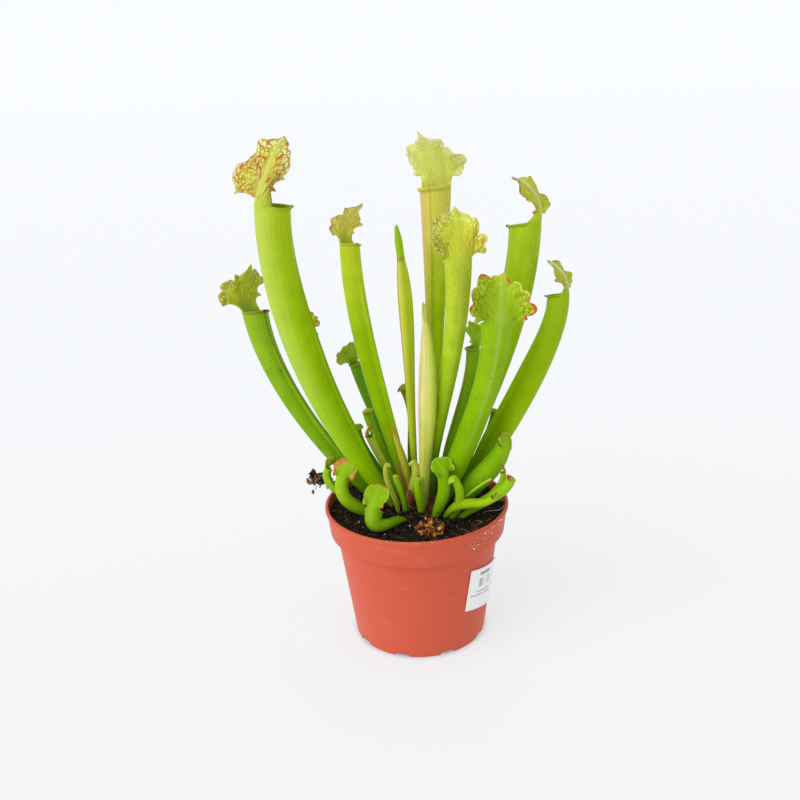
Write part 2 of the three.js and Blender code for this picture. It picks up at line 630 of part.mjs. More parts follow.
function potSolid() {
  const top = POT.height;
  const bandFoot = top - POT.bandHeight;
  const floorTop = POT.floorUnderside + POT.floorThickness;
  const bandWall = POT.bandFootRadius - POT.wall;
  const profile = [
    [0, 0],
    [POT.restDiscRadius, 0],
    [POT.restDiscRadius + 0.6, POT.floorUnderside],
    [potRadius(POT.floorUnderside) - POT.wall, POT.floorUnderside],
    [POT.footRadius - POT.wall, 0],
    [POT.footRadius - 0.4, 0],
    [potRadius(0.8), 0.8],
    [POT.bodyTopRadius, bandFoot - 0.6],
    [POT.bandFootRadius - 0.8, bandFoot - 0.2],
    [POT.bandFootRadius, bandFoot + 0.8],
    [POT.rimRadius - 1, top - 3.2],
    [POT.rimRadius, top - 2],
    [POT.rimRadius, top - 0.7],
    [POT.rimRadius - 0.7, top],
    [POT.rimInnerRadius, top],
    [POT.rimInnerRadius - 0.3, top - 0.6],
    [bandWall, bandFoot + 2.4],
    [potRadius(bandFoot) - POT.wall, bandFoot + 0.4],
    [potRadius(floorTop) - POT.wall, floorTop],
    [0, floorTop],
  ];
  let pot = solidOf(lathe(profile, POT.sides));
  for (let i = 0; i < POT.drainHoles; i += 1) {
    const angle = 2 * Math.PI * (i + 0.5) / POT.drainHoles;
    const drill = new THREE.CylinderGeometry(POT.drainRadius, POT.drainRadius, 8, 10);
    drill.rotateX(Math.PI / 2);
    drill.translate(POT.drainCircle * Math.cos(angle), POT.drainCircle * Math.sin(angle), floorTop / 2 + 1);
    pot = pot.subtract(solidOf(drill));
  }
  for (let i = 0; i < POT.notches; i += 1) {
    const angle = rad(POT.firstNotch + 360 * i / POT.notches);
    const cutter = new THREE.BoxGeometry(8, POT.notchWidth, 2 * POT.notchHeight);
    cutter.translate(POT.footRadius - 0.5, 0, 0);
    cutter.rotateZ(angle);
    pot = pot.subtract(solidOf(cutter));
  }
  return pot;
}

function soilLevel(distance) {
  const share = Math.min(1, distance / POT.rimInnerRadius);
  return SOIL.edgeLevel + SOIL.crownRise * (1 - share * share);
}

function soilSolid() {
  const bandFoot = POT.height - POT.bandHeight;
  const floorTop = POT.floorUnderside + POT.floorThickness;
  const wallAt = (z) => potRadius(z) - POT.wall - GAP;
  const edge = POT.rimInnerRadius - 1.1;
  const profile = [
    [0, floorTop + GAP],
    [wallAt(floorTop + GAP) - 0.2, floorTop + GAP],
    [wallAt(bandFoot) - 0.2, bandFoot + 0.4],
    [POT.bandFootRadius - POT.wall - GAP - 0.3, bandFoot + 2.8],
    [edge, soilLevel(edge)],
    [edge * 0.72, soilLevel(edge * 0.72)],
    [edge * 0.4, soilLevel(edge * 0.4)],
    [0, soilLevel(0)],
  ];
  return solidOf(lathe(profile, POT.sides));
}

function crownSolid(grow) {
  const height = CROWN.top - CROWN.bottom;
  const profile = [
    [0, CROWN.bottom - grow],
    [CROWN.radius * 0.7 + grow, CROWN.bottom - grow],
    [CROWN.radius + grow, CROWN.bottom + height * 0.5],
    [CROWN.radius * 0.85 + grow, CROWN.bottom + height * 0.85],
    [CROWN.radius * 0.5 + grow, CROWN.top + grow],
    [0, CROWN.top + grow],
  ];
  const geometry = lathe(profile, CROWN.sides);
  geometry.translate(CROWN.x, CROWN.y, 0);
  return solidOf(geometry);
}

// A crumbly lump: a ball with bumps that follow a few crossed waves.
function lumpSolid(grow) {
  const geometry = new THREE.IcosahedronGeometry(1, 3);
  const position = geometry.attributes.position;
  for (let i = 0; i < position.count; i += 1) {
    const p = new THREE.Vector3().fromBufferAttribute(position, i).normalize();
    const bump = 0.07 * Math.sin(9 * p.x + 2) + 0.07 * Math.sin(8 * p.y + 11 * p.z) + 0.05 * Math.sin(13 * p.z);
    const [rx, ry, rz] = LUMP.radii.map((r) => r * (1 + bump) + grow);
    position.setXYZ(i, p.x * rx + LUMP.x, p.y * ry + LUMP.y, p.z * rz + LUMP.level);
  }
  geometry.deleteAttribute('normal');
  geometry.deleteAttribute('uv');
  return solidOf(mergeVertices(geometry, 1e-3));
}

// A thick strip along a path, waved across its length: withered litter on the rim.
function ribbonSolid(path, width, thickness, turns) {
  const curve = new THREE.CatmullRomCurve3(path.map(vec));
  const skin = new Skin();
  const steps = 8;
  const rings = [];
  for (let i = 0; i <= steps; i += 1) {
    const t = i / steps;
    const at = curve.getPoint(t);
    const along = curve.getTangent(t);
    const roll = turns * 2 * Math.PI * t;
    const flat = new THREE.Vector3(0, 0, 1).cross(along).normalize();
    const high = along.clone().cross(flat);
    const wide = flat.clone().multiplyScalar(Math.cos(roll)).addScaledVector(high, Math.sin(roll));
    const thick = along.clone().cross(wide);
    const half = width * (0.35 + 0.65 * Math.sin(Math.PI * (0.1 + 0.8 * t))) / 2;
    rings.push([[half, 1], [-half, 1], [-half, -1], [half, -1]].map(([w, s]) => skin.point(
      at.clone().addScaledVector(wide, w).addScaledVector(thick, s * thickness / 2))));
  }
  for (let i = 0; i < steps; i += 1) {
    for (let j = 0; j < 4; j += 1) {
      const k = (j + 1) % 4;
      skin.quad(rings[i][j], rings[i][k], rings[i + 1][k], rings[i + 1][j]);
    }
  }
  skin.quad(...[...rings[0]].reverse());
  skin.quad(...rings[steps]);
  return solidOf(skin.geometry());
}

function litterSolid() {
  const over = ribbonSolid([[-48, 24, 87], [-53, 26, 88.5], [-59, 28, 87.5], [-65, 31, 90]], 7, 1.4, 0.5);
  const under = ribbonSolid([[-50, 20, 87], [-55, 26, 87.2], [-60, 29, 86.6], [-66, 27, 85]], 5, 1.4, -0.6);
  return over.add(under);
}

// The price label, bent round the pot's wall. It is left blank.
function labelGeometry() {
  const skin = new Skin();
  const column = (i) => {
    const share = i / LABEL.steps;
    const angle = rad(THREE.MathUtils.lerp(LABEL.from, LABEL.to, share) - 90);
    const low = LABEL.bottom + LABEL.slant * share;
    return [[low, 0], [low + LABEL.height, 0], [low + LABEL.height, 1], [low, 1]].map(([z, out]) => {
      const radius = potRadius(z) + LABEL.stand + 0.15 + out * LABEL.thickness;
      return skin.point(new THREE.Vector3(radius * Math.cos(angle), radius * Math.sin(angle), z));
    });
  };
  const columns = Array.from({ length: LABEL.steps + 1 }, (_, i) => column(i));
  for (let i = 0; i < LABEL.steps; i += 1) {
    for (let j = 0; j < 4; j += 1) {
      const k = (j + 1) % 4;
      skin.quad(columns[i][j], columns[i][k], columns[i + 1][k], columns[i + 1][j]);
    }
  }
  skin.quad(...[...columns[0]].reverse());
  skin.quad(...columns[LABEL.steps]);
  return skin.geometry();
}

// ---- putting the plant together --------------------------------------------------------

const plant = new THREE.Group();

function addPiece(name, geometry, colour, roughness) {
  const mesh = new THREE.Mesh(geometry, material(colour, roughness));
  mesh.name = name;
  plant.add(mesh);
}

// A young pitcher is given by fewer numbers: the rest follows from its size.
function youngSpec(young) {
  const neck = young.hoodHeight * 0.2;
  const edge = [-1, -0.5, 0, 0.5, 1].map((u) => {
    const spread = u * rad(HOOD_FAN);
    return Math.hypot((young.hoodHeight - neck) * Math.cos(spread), young.reach * Math.sin(spread));
  });
  return {
    ...young,
    wing: young.girth[2] * 0.35,
    mouthTilt: 10,
    hood: {
      height: young.hoodHeight, reach: young.reach, leanBack: 6, arch: 105,
      neck, twist: 0, sway: 0, reflex: 0.25, edge,
    },
    waves: { depth: young.reach * 0.08, phase: 0 },
  };
}

const leaves = [
  ...TALL_PITCHERS.map((spec) => ({
    spec, mesh: spec.mesh, geometry: pitcherGeometry(spec, spec.mesh, TALL_WALL, 58, 0.55),
  })),
  ...YOUNG_PITCHERS.map(youngSpec).map((spec) => ({
    spec, mesh: YOUNG_MESH, geometry: pitcherGeometry(spec, YOUNG_MESH, YOUNG_WALL, 62, 0.78),
  })),
  ...SPEARS.map((spec) => ({ spec, mesh: SPEAR_MESH, geometry: spearGeometry(spec) })),
];

let soil = soilSolid().subtract(crownSolid(GAP)).subtract(lumpSolid(1.5 * GAP));
let crown = crownSolid(0);
for (const { spec, mesh } of leaves) {
  const hole = footHole(spec, mesh);
  soil = soil.subtract(hole);
  crown = crown.subtract(hole);
}

addPiece('pot', geometryOf(potSolid()), COLOURS.terracotta, 0.45);
addPiece('soil', geometryOf(largestPiece(soil)), COLOURS.peat, 0.95);
addPiece('crown', geometryOf(largestPiece(crown)), COLOURS.crown, 0.7);
for (const { spec, geometry } of leaves) {
  addPiece(spec.name, geometry, COLOURS[spec.shade], 0.4);
}
addPiece('crumb_lump', geometryOf(lumpSolid(0)), COLOURS.crumbs, 0.95);
addPiece('rim_litter', geometryOf(litterSolid()), COLOURS.litter, 0.9);
addPiece('price_label', labelGeometry(), COLOURS.paper, 0.6);

export default plant;
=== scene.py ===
# %% [markdown]
# # A potted pitcher plant
# A young trumpet pitcher plant stands in a plastic nursery pot filled with peat. The solids
# of the plant come ready made as a fixed frame, in metres. This lesson dresses them: every
# leaf is rebuilt as a fine mesh on the same curves, and every surface gets a procedural
# material. We load the frame first.

# %% Load the frame
import math
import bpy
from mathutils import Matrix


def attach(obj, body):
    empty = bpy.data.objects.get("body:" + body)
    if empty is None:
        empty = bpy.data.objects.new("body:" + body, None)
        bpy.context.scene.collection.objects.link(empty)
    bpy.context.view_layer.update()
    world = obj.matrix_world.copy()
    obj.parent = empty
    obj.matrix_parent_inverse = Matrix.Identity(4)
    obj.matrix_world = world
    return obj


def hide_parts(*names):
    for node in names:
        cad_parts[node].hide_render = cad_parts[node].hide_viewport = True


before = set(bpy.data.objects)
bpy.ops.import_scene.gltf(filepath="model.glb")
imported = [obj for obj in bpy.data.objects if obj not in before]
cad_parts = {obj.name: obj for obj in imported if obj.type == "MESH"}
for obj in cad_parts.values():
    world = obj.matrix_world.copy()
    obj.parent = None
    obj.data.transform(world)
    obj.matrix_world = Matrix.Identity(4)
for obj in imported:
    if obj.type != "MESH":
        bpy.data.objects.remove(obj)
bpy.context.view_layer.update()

from types import SimpleNamespace

import bmesh
import bpy
import numpy as np
from mathutils import Matrix, Vector, noise

MM = 0.001
print("nodes in the frame:", len(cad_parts))

# %% [markdown]
# ## Shader maths as plain expressions
# A leaf's colour is a sum of many small effects: veins, streaks, a blushing margin. Wiring
# each one by hand in the node editor is slow to read. One small class wraps an output socket
# and overloads the operators, so that 1 - mask or a * b + c adds the Math nodes for us.
# Any other node comes from one method, which sets the node's own settings before its sockets.

# %% A socket that does arithmetic
class Wire:
    """One output socket of a material's node tree."""

    def __init__(self, socket):
        self.socket = socket

    def node(self, kind, settings=None, sockets=None, output=0):
        tree = self.socket.id_data
        made = tree.nodes.new(kind)
        for key, value in (settings or {}).items():
            if key == "stops":
                fill_ramp(made.color_ramp, value)
            else:
                setattr(made, key, value)
        for key, value in (sockets or {}).items():
            if isinstance(value, Wire):
                tree.links.new(value.socket, made.inputs[key])
            else:
                made.inputs[key].default_value = linear(value)
        return Wire(made.outputs[output])

    def math(self, operation, *values):
        return self.node("ShaderNodeMath", {"operation": operation}, dict(enumerate(values)))

    def __add__(self, other):
        return self.math("ADD", self, other)

    def __sub__(self, other):
        return self.math("SUBTRACT", self, other)

    def __rsub__(self, other):
        return self.math("SUBTRACT", other, self)

    def __mul__(self, other):
        return self.math("MULTIPLY", self, other)

    def __truediv__(self, other):
        return self.math("DIVIDE", self, other)

    def __rtruediv__(self, other):
        return self.math("DIVIDE", other, self)

    def __abs__(self):
        return self.math("ABSOLUTE", self)

    __radd__ = __add__
    __rmul__ = __mul__


def linear(value):
    """Turns a colour as it looks on screen, such as "ce5439", into the values of a socket.

    Anything else that a socket can hold is passed on as it is.
    """
    if not isinstance(value, str):
        return value
    shares = [int(value[n:n + 2], 16) / 255 for n in (0, 2, 4)]
    return (*(c / 12.92 if c <= 0.04045 else ((c + 0.055) / 1.055) ** 2.4 for c in shares), 1.0)


def fill_ramp(ramp, stops):
    """Gives a ramp bands of plain colour, each from its place to the next one."""
    ramp.interpolation = "CONSTANT"
    while len(ramp.elements) < len(stops):
        ramp.elements.new(1.0)
    for element, (place, colour) in zip(ramp.elements, stops):
        element.position = place
        element.color = linear(colour)


print("a mid grey on screen is", round(linear("808080")[0], 3), "in a node")

# %% [markdown]
# A few nodes come back all the time: a soft step that turns a value into a mask, a mix of two
# colours by a mask, a tint, a noise and the borders between cells. Each gets a short name here,
# so that a finish later reads like a recipe.

# %% Steps, mixes and noises
def step(wire, start, end):
    """Rises smoothly from 0 at start to 1 at end. It falls instead where end is the smaller."""
    settings = {"interpolation_type": "SMOOTHSTEP"}
    if start < end:
        return wire.node("ShaderNodeMapRange", settings, {0: wire, 1: start, 2: end})
    return 1 - wire.node("ShaderNodeMapRange", settings, {0: wire, 1: end, 2: start})


def mix(mask, below, above):
    """Lays one colour over another where the mask is 1."""
    return mask.node("ShaderNodeMix", {"data_type": "RGBA"}, {0: mask, 6: below, 7: above}, 2)


def tint(colour, amount):
    """A colour made lighter or darker, with its hue kept."""
    scaled = {"operation": "SCALE"}
    return amount.node("ShaderNodeVectorMath", scaled, {0: colour, 3: amount})


def vector(x, y, z):
    wire = next(w for w in (x, y, z) if isinstance(w, Wire))
    return wire.node("ShaderNodeCombineXYZ", None, {0: x, 1: y, 2: z})


def noise_at(place, scale, detail=2.0):
    sockets = {"Vector": place, "Scale": scale, "Detail": detail}
    return place.node("ShaderNodeTexNoise", None, sockets)


def dots_at(place, scale):
    """Distance to the nearest of many scattered points, in cells."""
    return place.node("ShaderNodeTexVoronoi", None, {"Vector": place, "Scale": scale})


def cell_edges(place):
    """Distance to the nearest border between cells, in cells."""
    settings = {"feature": "DISTANCE_TO_EDGE"}
    return place.node("ShaderNodeTexVoronoi", settings, {"Vector": place, "Scale": 1.0})


print("shader helpers ready")

# %% [markdown]
# A finish is a material that is about to be painted. It starts from the Principled shader,
# with the numbers that are the same all over set straight on its sockets. Meshes carry named
# attributes, such as how far a point lies from the blade's margin, and `read` brings one in.

# %% Starting and ending a finish
class Finish:
    """A material with its shader, and the place on the object as the first wire."""

    def __init__(self, name, **even):
        self.material = bpy.data.materials.new(name)
        self.material.use_nodes = True
        self.shader = self.material.node_tree.nodes["Principled BSDF"]
        for key, value in even.items():
            self.feed(key.replace("_", " "), value)
        self.place = Wire(self.shader.outputs[0]).node("ShaderNodeTexCoord", output="Object")

    def feed(self, socket, value):
        """Links a wire to one of the shader's sockets, or sets a plain value on it."""
        if isinstance(value, Wire):
            self.material.node_tree.links.new(value.socket, self.shader.inputs[socket])
        else:
            self.shader.inputs[socket].default_value = linear(value)

    def read(self, name):
        settings = {"attribute_type": "GEOMETRY", "attribute_name": name}
        return self.place.node("ShaderNodeAttribute", settings, output=2)

    def axis(self, number):
        """One coordinate of the place, in metres."""
        return self.place.node("ShaderNodeSeparateXYZ", None, {0: self.place}, number)

    def done(self, colour, roughness, relief=None, depth=0.1 * MM):
        """Feeds what varies over the surface and hands over the material."""
        self.feed("Base Color", colour)
        self.feed("Roughness", roughness)
        if relief is not None:
            sockets = {"Height": relief, "Distance": depth, "Strength": 1.0}
            self.feed("Normal", relief.node("ShaderNodeBump", None, sockets))
        return self.material


print("finish helper ready")

# %% [markdown]
# ## Meshes from grids
# Nearly every piece here is a sheet of points in rows and columns. A small builder collects
# such grids, joins them with quads and carries the attributes along with each point. Which way
# the faces look is left to the end, when Blender turns them all outwards.

# %% A mesh builder
class Skin:
    """Points, quads and named attributes as they grow, in millimetres."""

    def __init__(self):
        self.points, self.quads, self.marks = [], [], {}
        self.count = 0

    def grid(self, points, **marks):
        """Adds a block of points and returns their numbers in the same layout."""
        points = np.asarray(points, float)
        layout = points.shape[:-1]
        size = int(np.prod(layout))
        for name in sorted(set(self.marks) | set(marks)):
            value = np.broadcast_to(np.asarray(marks.get(name, 0.0), float), layout)
            held = self.marks.setdefault(name, [np.zeros(self.count)] if self.count else [])
            held.append(value.reshape(-1))
        self.points.append(points.reshape(-1, 3))
        numbers = np.arange(self.count, self.count + size).reshape(layout)
        self.count += size
        return numbers

    def sheet(self, rows, closed=False):
        """Quads between neighbouring rows and columns of point numbers."""
        numbers = np.array(rows)
        if closed:
            numbers = np.concatenate([numbers, numbers[:, :1]], axis=1)
        corners = numbers[:-1, :-1], numbers[:-1, 1:], numbers[1:, 1:], numbers[1:, :-1]
        self.quads.append(np.stack(corners, axis=-1).reshape(-1, 4))

    def cap(self, centre, ring, **marks):
        """Closes a ring of point numbers with a fan round one more point."""
        middle = np.full(len(ring), int(self.grid([centre], **marks)[0]))
        after = np.roll(ring, -1)
        self.quads.append(np.stack((middle, ring, after, after), axis=-1))

    def slab(self, front, behind, **marks):
        """A thin slab between two grids of points, closed along its four rims."""
        faces = self.grid(front, **marks), self.grid(behind, **marks)
        for face in faces:
            self.sheet(face)
        for rim in (np.s_[0], np.s_[-1], np.s_[:, 0], np.s_[:, -1]):
            self.sheet([face[rim] for face in faces])

    def build(self, name, material, smooth=True):
        mesh = bpy.data.meshes.new(name)
        faces = [list(dict.fromkeys(q)) for q in np.concatenate(self.quads).tolist()]
        points = np.concatenate(self.points) * MM
        mesh.from_pydata(points.tolist(), [], [f for f in faces if len(f) > 2])
        mesh.polygons.foreach_set("use_smooth", [smooth] * len(mesh.polygons))
        for key, held in self.marks.items():
            mark = mesh.attributes.new(key, "FLOAT", "POINT")
            mark.data.foreach_set("value", np.concatenate(held).astype(np.float32))
        mesh.materials.append(material)
        turned = bmesh.new()
        turned.from_mesh(mesh)
        bmesh.ops.recalc_face_normals(turned, faces=turned.faces)
        turned.to_mesh(mesh)
        turned.free()
        piece = bpy.data.objects.new(name, mesh)
        bpy.context.scene.collection.objects.link(piece)
        return piece


def place_piece(piece, slot, *stands_for):
    """Every piece rides on the one body, and may stand for solids of the frame."""
    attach(piece, "root")
    if stands_for:
        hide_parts(*stands_for)
    print(piece.name, len(piece.data.polygons), "faces")


print("mesh builder ready")

# %% [markdown]
# The shapes need a little geometry of their own: an easing step for blending, a circle's
# directions and points, a direction scaled to length 1, and a push along a direction that
# works for a whole grid of distances at once.

# %% Geometry helpers
def smooth_step(low, high, x):
    """The soft step of the shaders, for numbers."""
    t = np.clip((np.asarray(x, float) - low) / (high - low), 0, 1)
    return t * t * (3 - 2 * t)


def unit(way):
    """A direction, or many of them, at length 1."""
    return way / np.linalg.norm(way, axis=-1, keepdims=True)


def push(way, amount):
    """The direction times each amount of a grid."""
    return way * np.asarray(amount)[..., None]


def turns(count):
    """Evenly spaced directions round a full circle."""
    return np.linspace(0, 2 * np.pi, count, endpoint=False)


def around(radius, turn, z, x=0.0, y=0.0):
    """Points at a distance from an upright axis through (x, y), at the height z."""
    return np.stack(np.broadcast_arrays(
        x + radius * np.cos(turn), y + radius * np.sin(turn), np.asarray(z, float)), -1)


print("a ring of 4 points:", np.round(around(1, turns(4), 0), 1).tolist())

# %% [markdown]
# ## The tube of a pitcher
# Each leaf follows a curve with four control points, and its girth follows four radii in the
# same way. At every place along it there is a little frame: up along the tube, front towards
# the way that the mouth opens, and side across. Angle 0 is the tube's back, 180 its wing.

# %% A tube with its own frame
def bezier(controls, t):
    a, b, c, d = controls
    s = 1 - t
    return s**3 * a + 3 * s * s * t * b + 3 * s * t * t * c + t**3 * d


class Tube:
    """A bent tube with a girth that varies along it, and the way that its mouth faces."""

    def __init__(self, path, girth, facing):
        self.path, self.girth = np.array(path, float), girth
        turn = math.radians(facing)
        self.facing = np.array([math.cos(turn), math.sin(turn), 0.0])
        way = self.at(np.linspace(0, 1, 201))
        self.length = float(np.linalg.norm(np.diff(way, axis=0), axis=1).sum())

    def at(self, t):
        return bezier(self.path, np.asarray(t, float)[..., None])

    def radius(self, t):
        return bezier(self.girth, t)

    def frame(self, t):
        t = np.asarray(t, float)[..., None]
        s = 1 - t
        a, b, c, d = self.path
        up = unit(s * s * (b - a) + 2 * s * t * (c - b) + t * t * (d - c))
        front = unit(self.facing - up * (up @ self.facing)[..., None])
        return up, front, np.cross(up, front)

    def point(self, t, angle, distance):
        _, front, side = self.frame(t)
        return self.at(t) + push(push(side, np.sin(angle)) - push(front, np.cos(angle)), distance)


STRAIGHT = Tube([(0, 0, 0), (0, 0, 30), (0, 0, 70), (0, 0, 100)], [1, 1, 1, 1], 0)
print("a straight tube of 100 mm measures", round(STRAIGHT.length, 2))

# %% [markdown]
# ## The hood
# The hood is a fan that grows out of the back of the mouth. Its margin is drawn by nine
# lengths, from one low corner over the tip to the other. One could draw an outline by hand, but
# lengths at known angles are easy to compare with a real leaf. Here the margin also gets what
# the frame leaves out: lobes with notches between them, a small spike at the tip, and ruffles.

# %% The hood's margin
HOOD_FAN = math.radians(108)


def margin(edge, u):
    """The blade's length in the direction u, smoothly through the listed lengths."""
    places = np.linspace(-1, 1, len(edge))
    straight = np.interp(u, places, edge)
    soft = sum(np.interp(u + d, places, edge) for d in (-0.09, -0.03, 0.03, 0.09)) / 4
    return 0.4 * straight + 0.6 * soft


def lobe_maker(places, notch, ruffle, spike):
    """Lobes between the listed notches: how much the margin moves out, and how it ruffles."""
    ends = np.array([-1.06] + sorted(places) + [1.06])

    def lobes(u):
        number = np.clip(np.searchsorted(ends, u, side="right") - 1, 0, len(ends) - 2)
        share = (u - ends[number]) / (ends[number + 1] - ends[number])
        rise = np.sin(np.pi * np.clip(share, 0, 1)) ** 0.6
        size = 0.75 + 0.5 * np.modf(number * 0.618 + 0.3)[0]
        out = notch * (rise * size - 0.62) + spike * np.exp(-(u / 0.035) ** 2)
        side = np.where(number % 2, 1.0, -1.0)
        return out, ruffle * side * (rise - 0.5) + 0.35 * ruffle * np.sin(37 * u + 9 * ends[1])
    return lobes


print("a lobe's tip moves out by", round(float(lobe_maker([0.0], 3, 1, 0)(0.5)[0]), 2), "mm")

# %% [markdown]
# From the mouth the hood narrows to a neck, spreads and arches over. So a point of it starts
# on the tube's wall, and the further out it lies, the more it follows the blade instead: a
# sheet that leans, bends over along a circle, twists and curls back at its sides.

# %% The hood's surface
def hood_surface(tube, hood, neck_angle, drop, u, v, inset):
    """Points of the hood. u is -1 to 1 across it, v is 0 at the mouth and 1 at the margin."""
    up, front, side = tube.frame(1.0)
    radius = tube.radius(1.0)
    start = u * neck_angle
    fade = (1 - v) ** 2
    spread = u * HOOD_FAN + math.radians(hood.sway) * v * (1 - u * u)
    lobe, ruffle = hood.lobes(u)
    edge = margin(hood.edge, u) + lobe * smooth_step(0.45, 1.0, v)
    across = fade * radius * np.sin(start) + edge * v * np.sin(spread)
    along = hood.neck * (1 - fade) + edge * v * np.cos(spread) - drop * fade
    wave = np.cos(4 * np.pi * u + hood.phase) * np.minimum(1, np.abs(u) * 2.5)
    deep = (fade * radius * (1 - np.cos(start)) - (1 - fade) * hood.reflex * across**2 / hood.reach
            + hood.depth * v * v * wave + ruffle * v**5)
    # The blade turns with the twist, and bends over along a circle that starts at the lean.
    twist = math.radians(hood.twist) * (1 - fade)
    turned_front = push(front, np.cos(twist)) + push(side, np.sin(twist))
    turned_side = np.cross(np.broadcast_to(up, turned_front.shape), turned_front)
    begin, bend = -math.radians(hood.lean), math.radians(hood.arch) / hood.height
    below = np.minimum(0, along)
    angle = begin + bend * np.maximum(0, along)
    rib_up = (np.sin(angle) - np.sin(begin)) / bend + below * np.cos(begin)
    rib_front = (np.cos(begin) - np.cos(angle)) / bend + below * np.sin(begin)
    in_tube = push(front, np.cos(start)) - push(side, np.sin(start))
    in_blade = push(turned_front, np.cos(angle)) - push(up, np.sin(angle))
    inward = unit(push(in_tube, fade) + push(in_blade, 1 - fade))
    return (tube.at(1.0) - front * radius + push(up, rib_up - deep * np.sin(angle))
            + push(turned_front, rib_front + deep * np.cos(angle))
            + push(turned_side, across) + push(inward, inset))


print("hood ready")

# %% [markdown]
# The whole leaf is one mesh: the tube's outer side with its wing, the rolled lip, the inner
# side down into the cavity, and the hood's two faces. Each point also carries what the
# material wants to know about it: how far along the leaf it is, on which side of the tube,
# how far from the margin, and whether it is part of the lip, the wing or the midrib. We start
# with one ring of such points, at any height and distance from the wall.

# %% One ring round the tube
WING_THICK, RIB_HALF, SEAM = 0.75, 1.1, 0.05


def start_leaf(spec, fine):
    """Everything that the rings and the hood of one leaf share."""
    tube, neck = Tube(spec.path, spec.girth, spec.facing), math.radians(spec.embrace)
    # Directions from the hood's edge round to the wing lie closer together near the wing.
    share = np.linspace(0, 1, fine["front"] + 1)[1:]
    flank = neck + (np.pi - neck) * (1 - (1 - share) ** 1.9)
    fan = np.linspace(-neck, neck, fine["spans"] + 1)
    angles = np.concatenate([-flank[::-1], fan, flank[:-1]])
    slope, tip = math.tan(math.radians(spec.tilt)), math.tan(math.radians(spec.roll))
    drop = tube.radius(1.0) * (slope * (1 - np.cos(angles)) + tip * np.sin(angles))
    return SimpleNamespace(
        spec=spec, fine=fine, tube=tube, neck=neck, angles=angles, drop=drop, skin=Skin(),
        is_hood=slice(len(flank), len(flank) + len(fan)), top=1 - drop / tube.length,
        off_wing=np.pi - np.abs(angles), lip=smooth_step(neck, neck + 0.4, np.abs(angles)))


def ring(leaf, t, out=0.0, axial=0.0, inside=0.0, lip_share=0.0):
    """One ring: t up the tube, then out from its wall and up along it in millimetres."""
    tube, spec, angles = leaf.tube, leaf.spec, leaf.angles
    place = t + axial / tube.length
    radius = tube.radius(place)
    flap = np.exp(-(leaf.off_wing * radius / WING_THICK) ** 2)
    wing = spec.wing * smooth_step(0.1, 0.35, place) * (1 - smooth_step(0.55, 0.97, place))
    seam = SEAM * np.sin(angles * 3 + place * 4) * smooth_step(0.0, 0.5, place)
    bulge = (wing * flap + seam * spec.fuller) * (1 - inside)
    return leaf.skin.grid(
        tube.point(place, angles, radius + out + bulge), along=(place - 1) * tube.length,
        u=angles / leaf.neck, east=np.sin(angles), back=np.cos(angles), rim=40.0,
        inside=inside, lip=leaf.lip * lip_share,
        wing=flap * smooth_step(0.05, 0.2, place) * (1 - inside),
        rib=np.exp(-(angles * radius / RIB_HALF) ** 2) * smooth_step(0.3, 0.9, place),
        spout=np.exp(-(leaf.off_wing / 0.3) ** 2) * lip_share)


print("rings ready")

# %% [markdown]
# The lip of a trumpet is rolled outwards like the rim of a paper cup, and swells into a spout
# in front. Its section is a list of points that each ring follows. Under the hood there is no
# roll, so there the points die away into the plain wall.

# %% The walls and the lip
# The rolled lip in section, in millimetres: out from the tube's wall and up from the mouth.
LIP_ROLL = [(0, -2.2), (0.05, -1.8), (0.25, -1.5), (0.62, -1.35), (0.95, -1.05), (1.08, -0.65),
            (0.98, -0.25), (0.68, 0), (0.3, 0.04), (-0.05, -0.12), (-0.35, -0.45), (-0.5, -0.9)]
LIP_DEEP, SPOUT_SWELL = 2.2, 0.55
CREST = 8  # the point of the section from which the lip turns inwards


def walls(leaf):
    """Rings up the outer side and over the lip, then rings down into the cavity."""
    spec, lip, length = leaf.spec, leaf.lip, leaf.tube.length
    lip_foot = leaf.top - LIP_DEEP * (lip * spec.lip + 1 - lip) / length
    swell = 1 + SPOUT_SWELL * np.exp(-(leaf.off_wing / 0.28) ** 2)
    outer = [ring(leaf, lip_foot * share) for share in np.linspace(0, 1, leaf.fine["rows"])]
    inner = []
    for number, (out, rise) in enumerate(LIP_ROLL[1:], 1):
        inward = number >= CREST
        plain_out = -spec.wall if inward else 0.0
        plain_rise = 0.5 * (CREST - number) if inward else LIP_DEEP * (number / (CREST - 1) - 1)
        full_out = out * swell * spec.lip if out > 0 else out
        full_rise = rise * spec.lip + 1.1 * (swell - 1) * smooth_step(-LIP_DEEP, 0, rise)
        made = ring(leaf, leaf.top, lip * full_out + (1 - lip) * plain_out,
                    lip * full_rise + (1 - lip) * plain_rise, 1.0 if inward else 0.0,
                    math.sin(math.pi * min(1, number / 10)) ** 0.5)
        (inner if inward else outer).append(made)
    for share in np.linspace(1, 0, leaf.fine["deep"])[1:]:
        place = spec.cavity + (leaf.top - 2.4 / length - spec.cavity) * share
        inner.append(ring(leaf, place, -spec.wall, inside=1.0))
    return np.array(outer), np.array(inner)


print("the lip rolls out by", max(out for out, rise in LIP_ROLL), "mm")

# %% [markdown]
# The hood's two faces start from the last outer ring and the first inner one, so that the leaf
# stays one closed skin. Towards the margin they draw together, and a raised midrib and a
# slight pucker between the veins go into the distance between them.

# %% The hood's faces and the whole leaf
RIB_HIGH, PUCKER = 0.4, 0.16


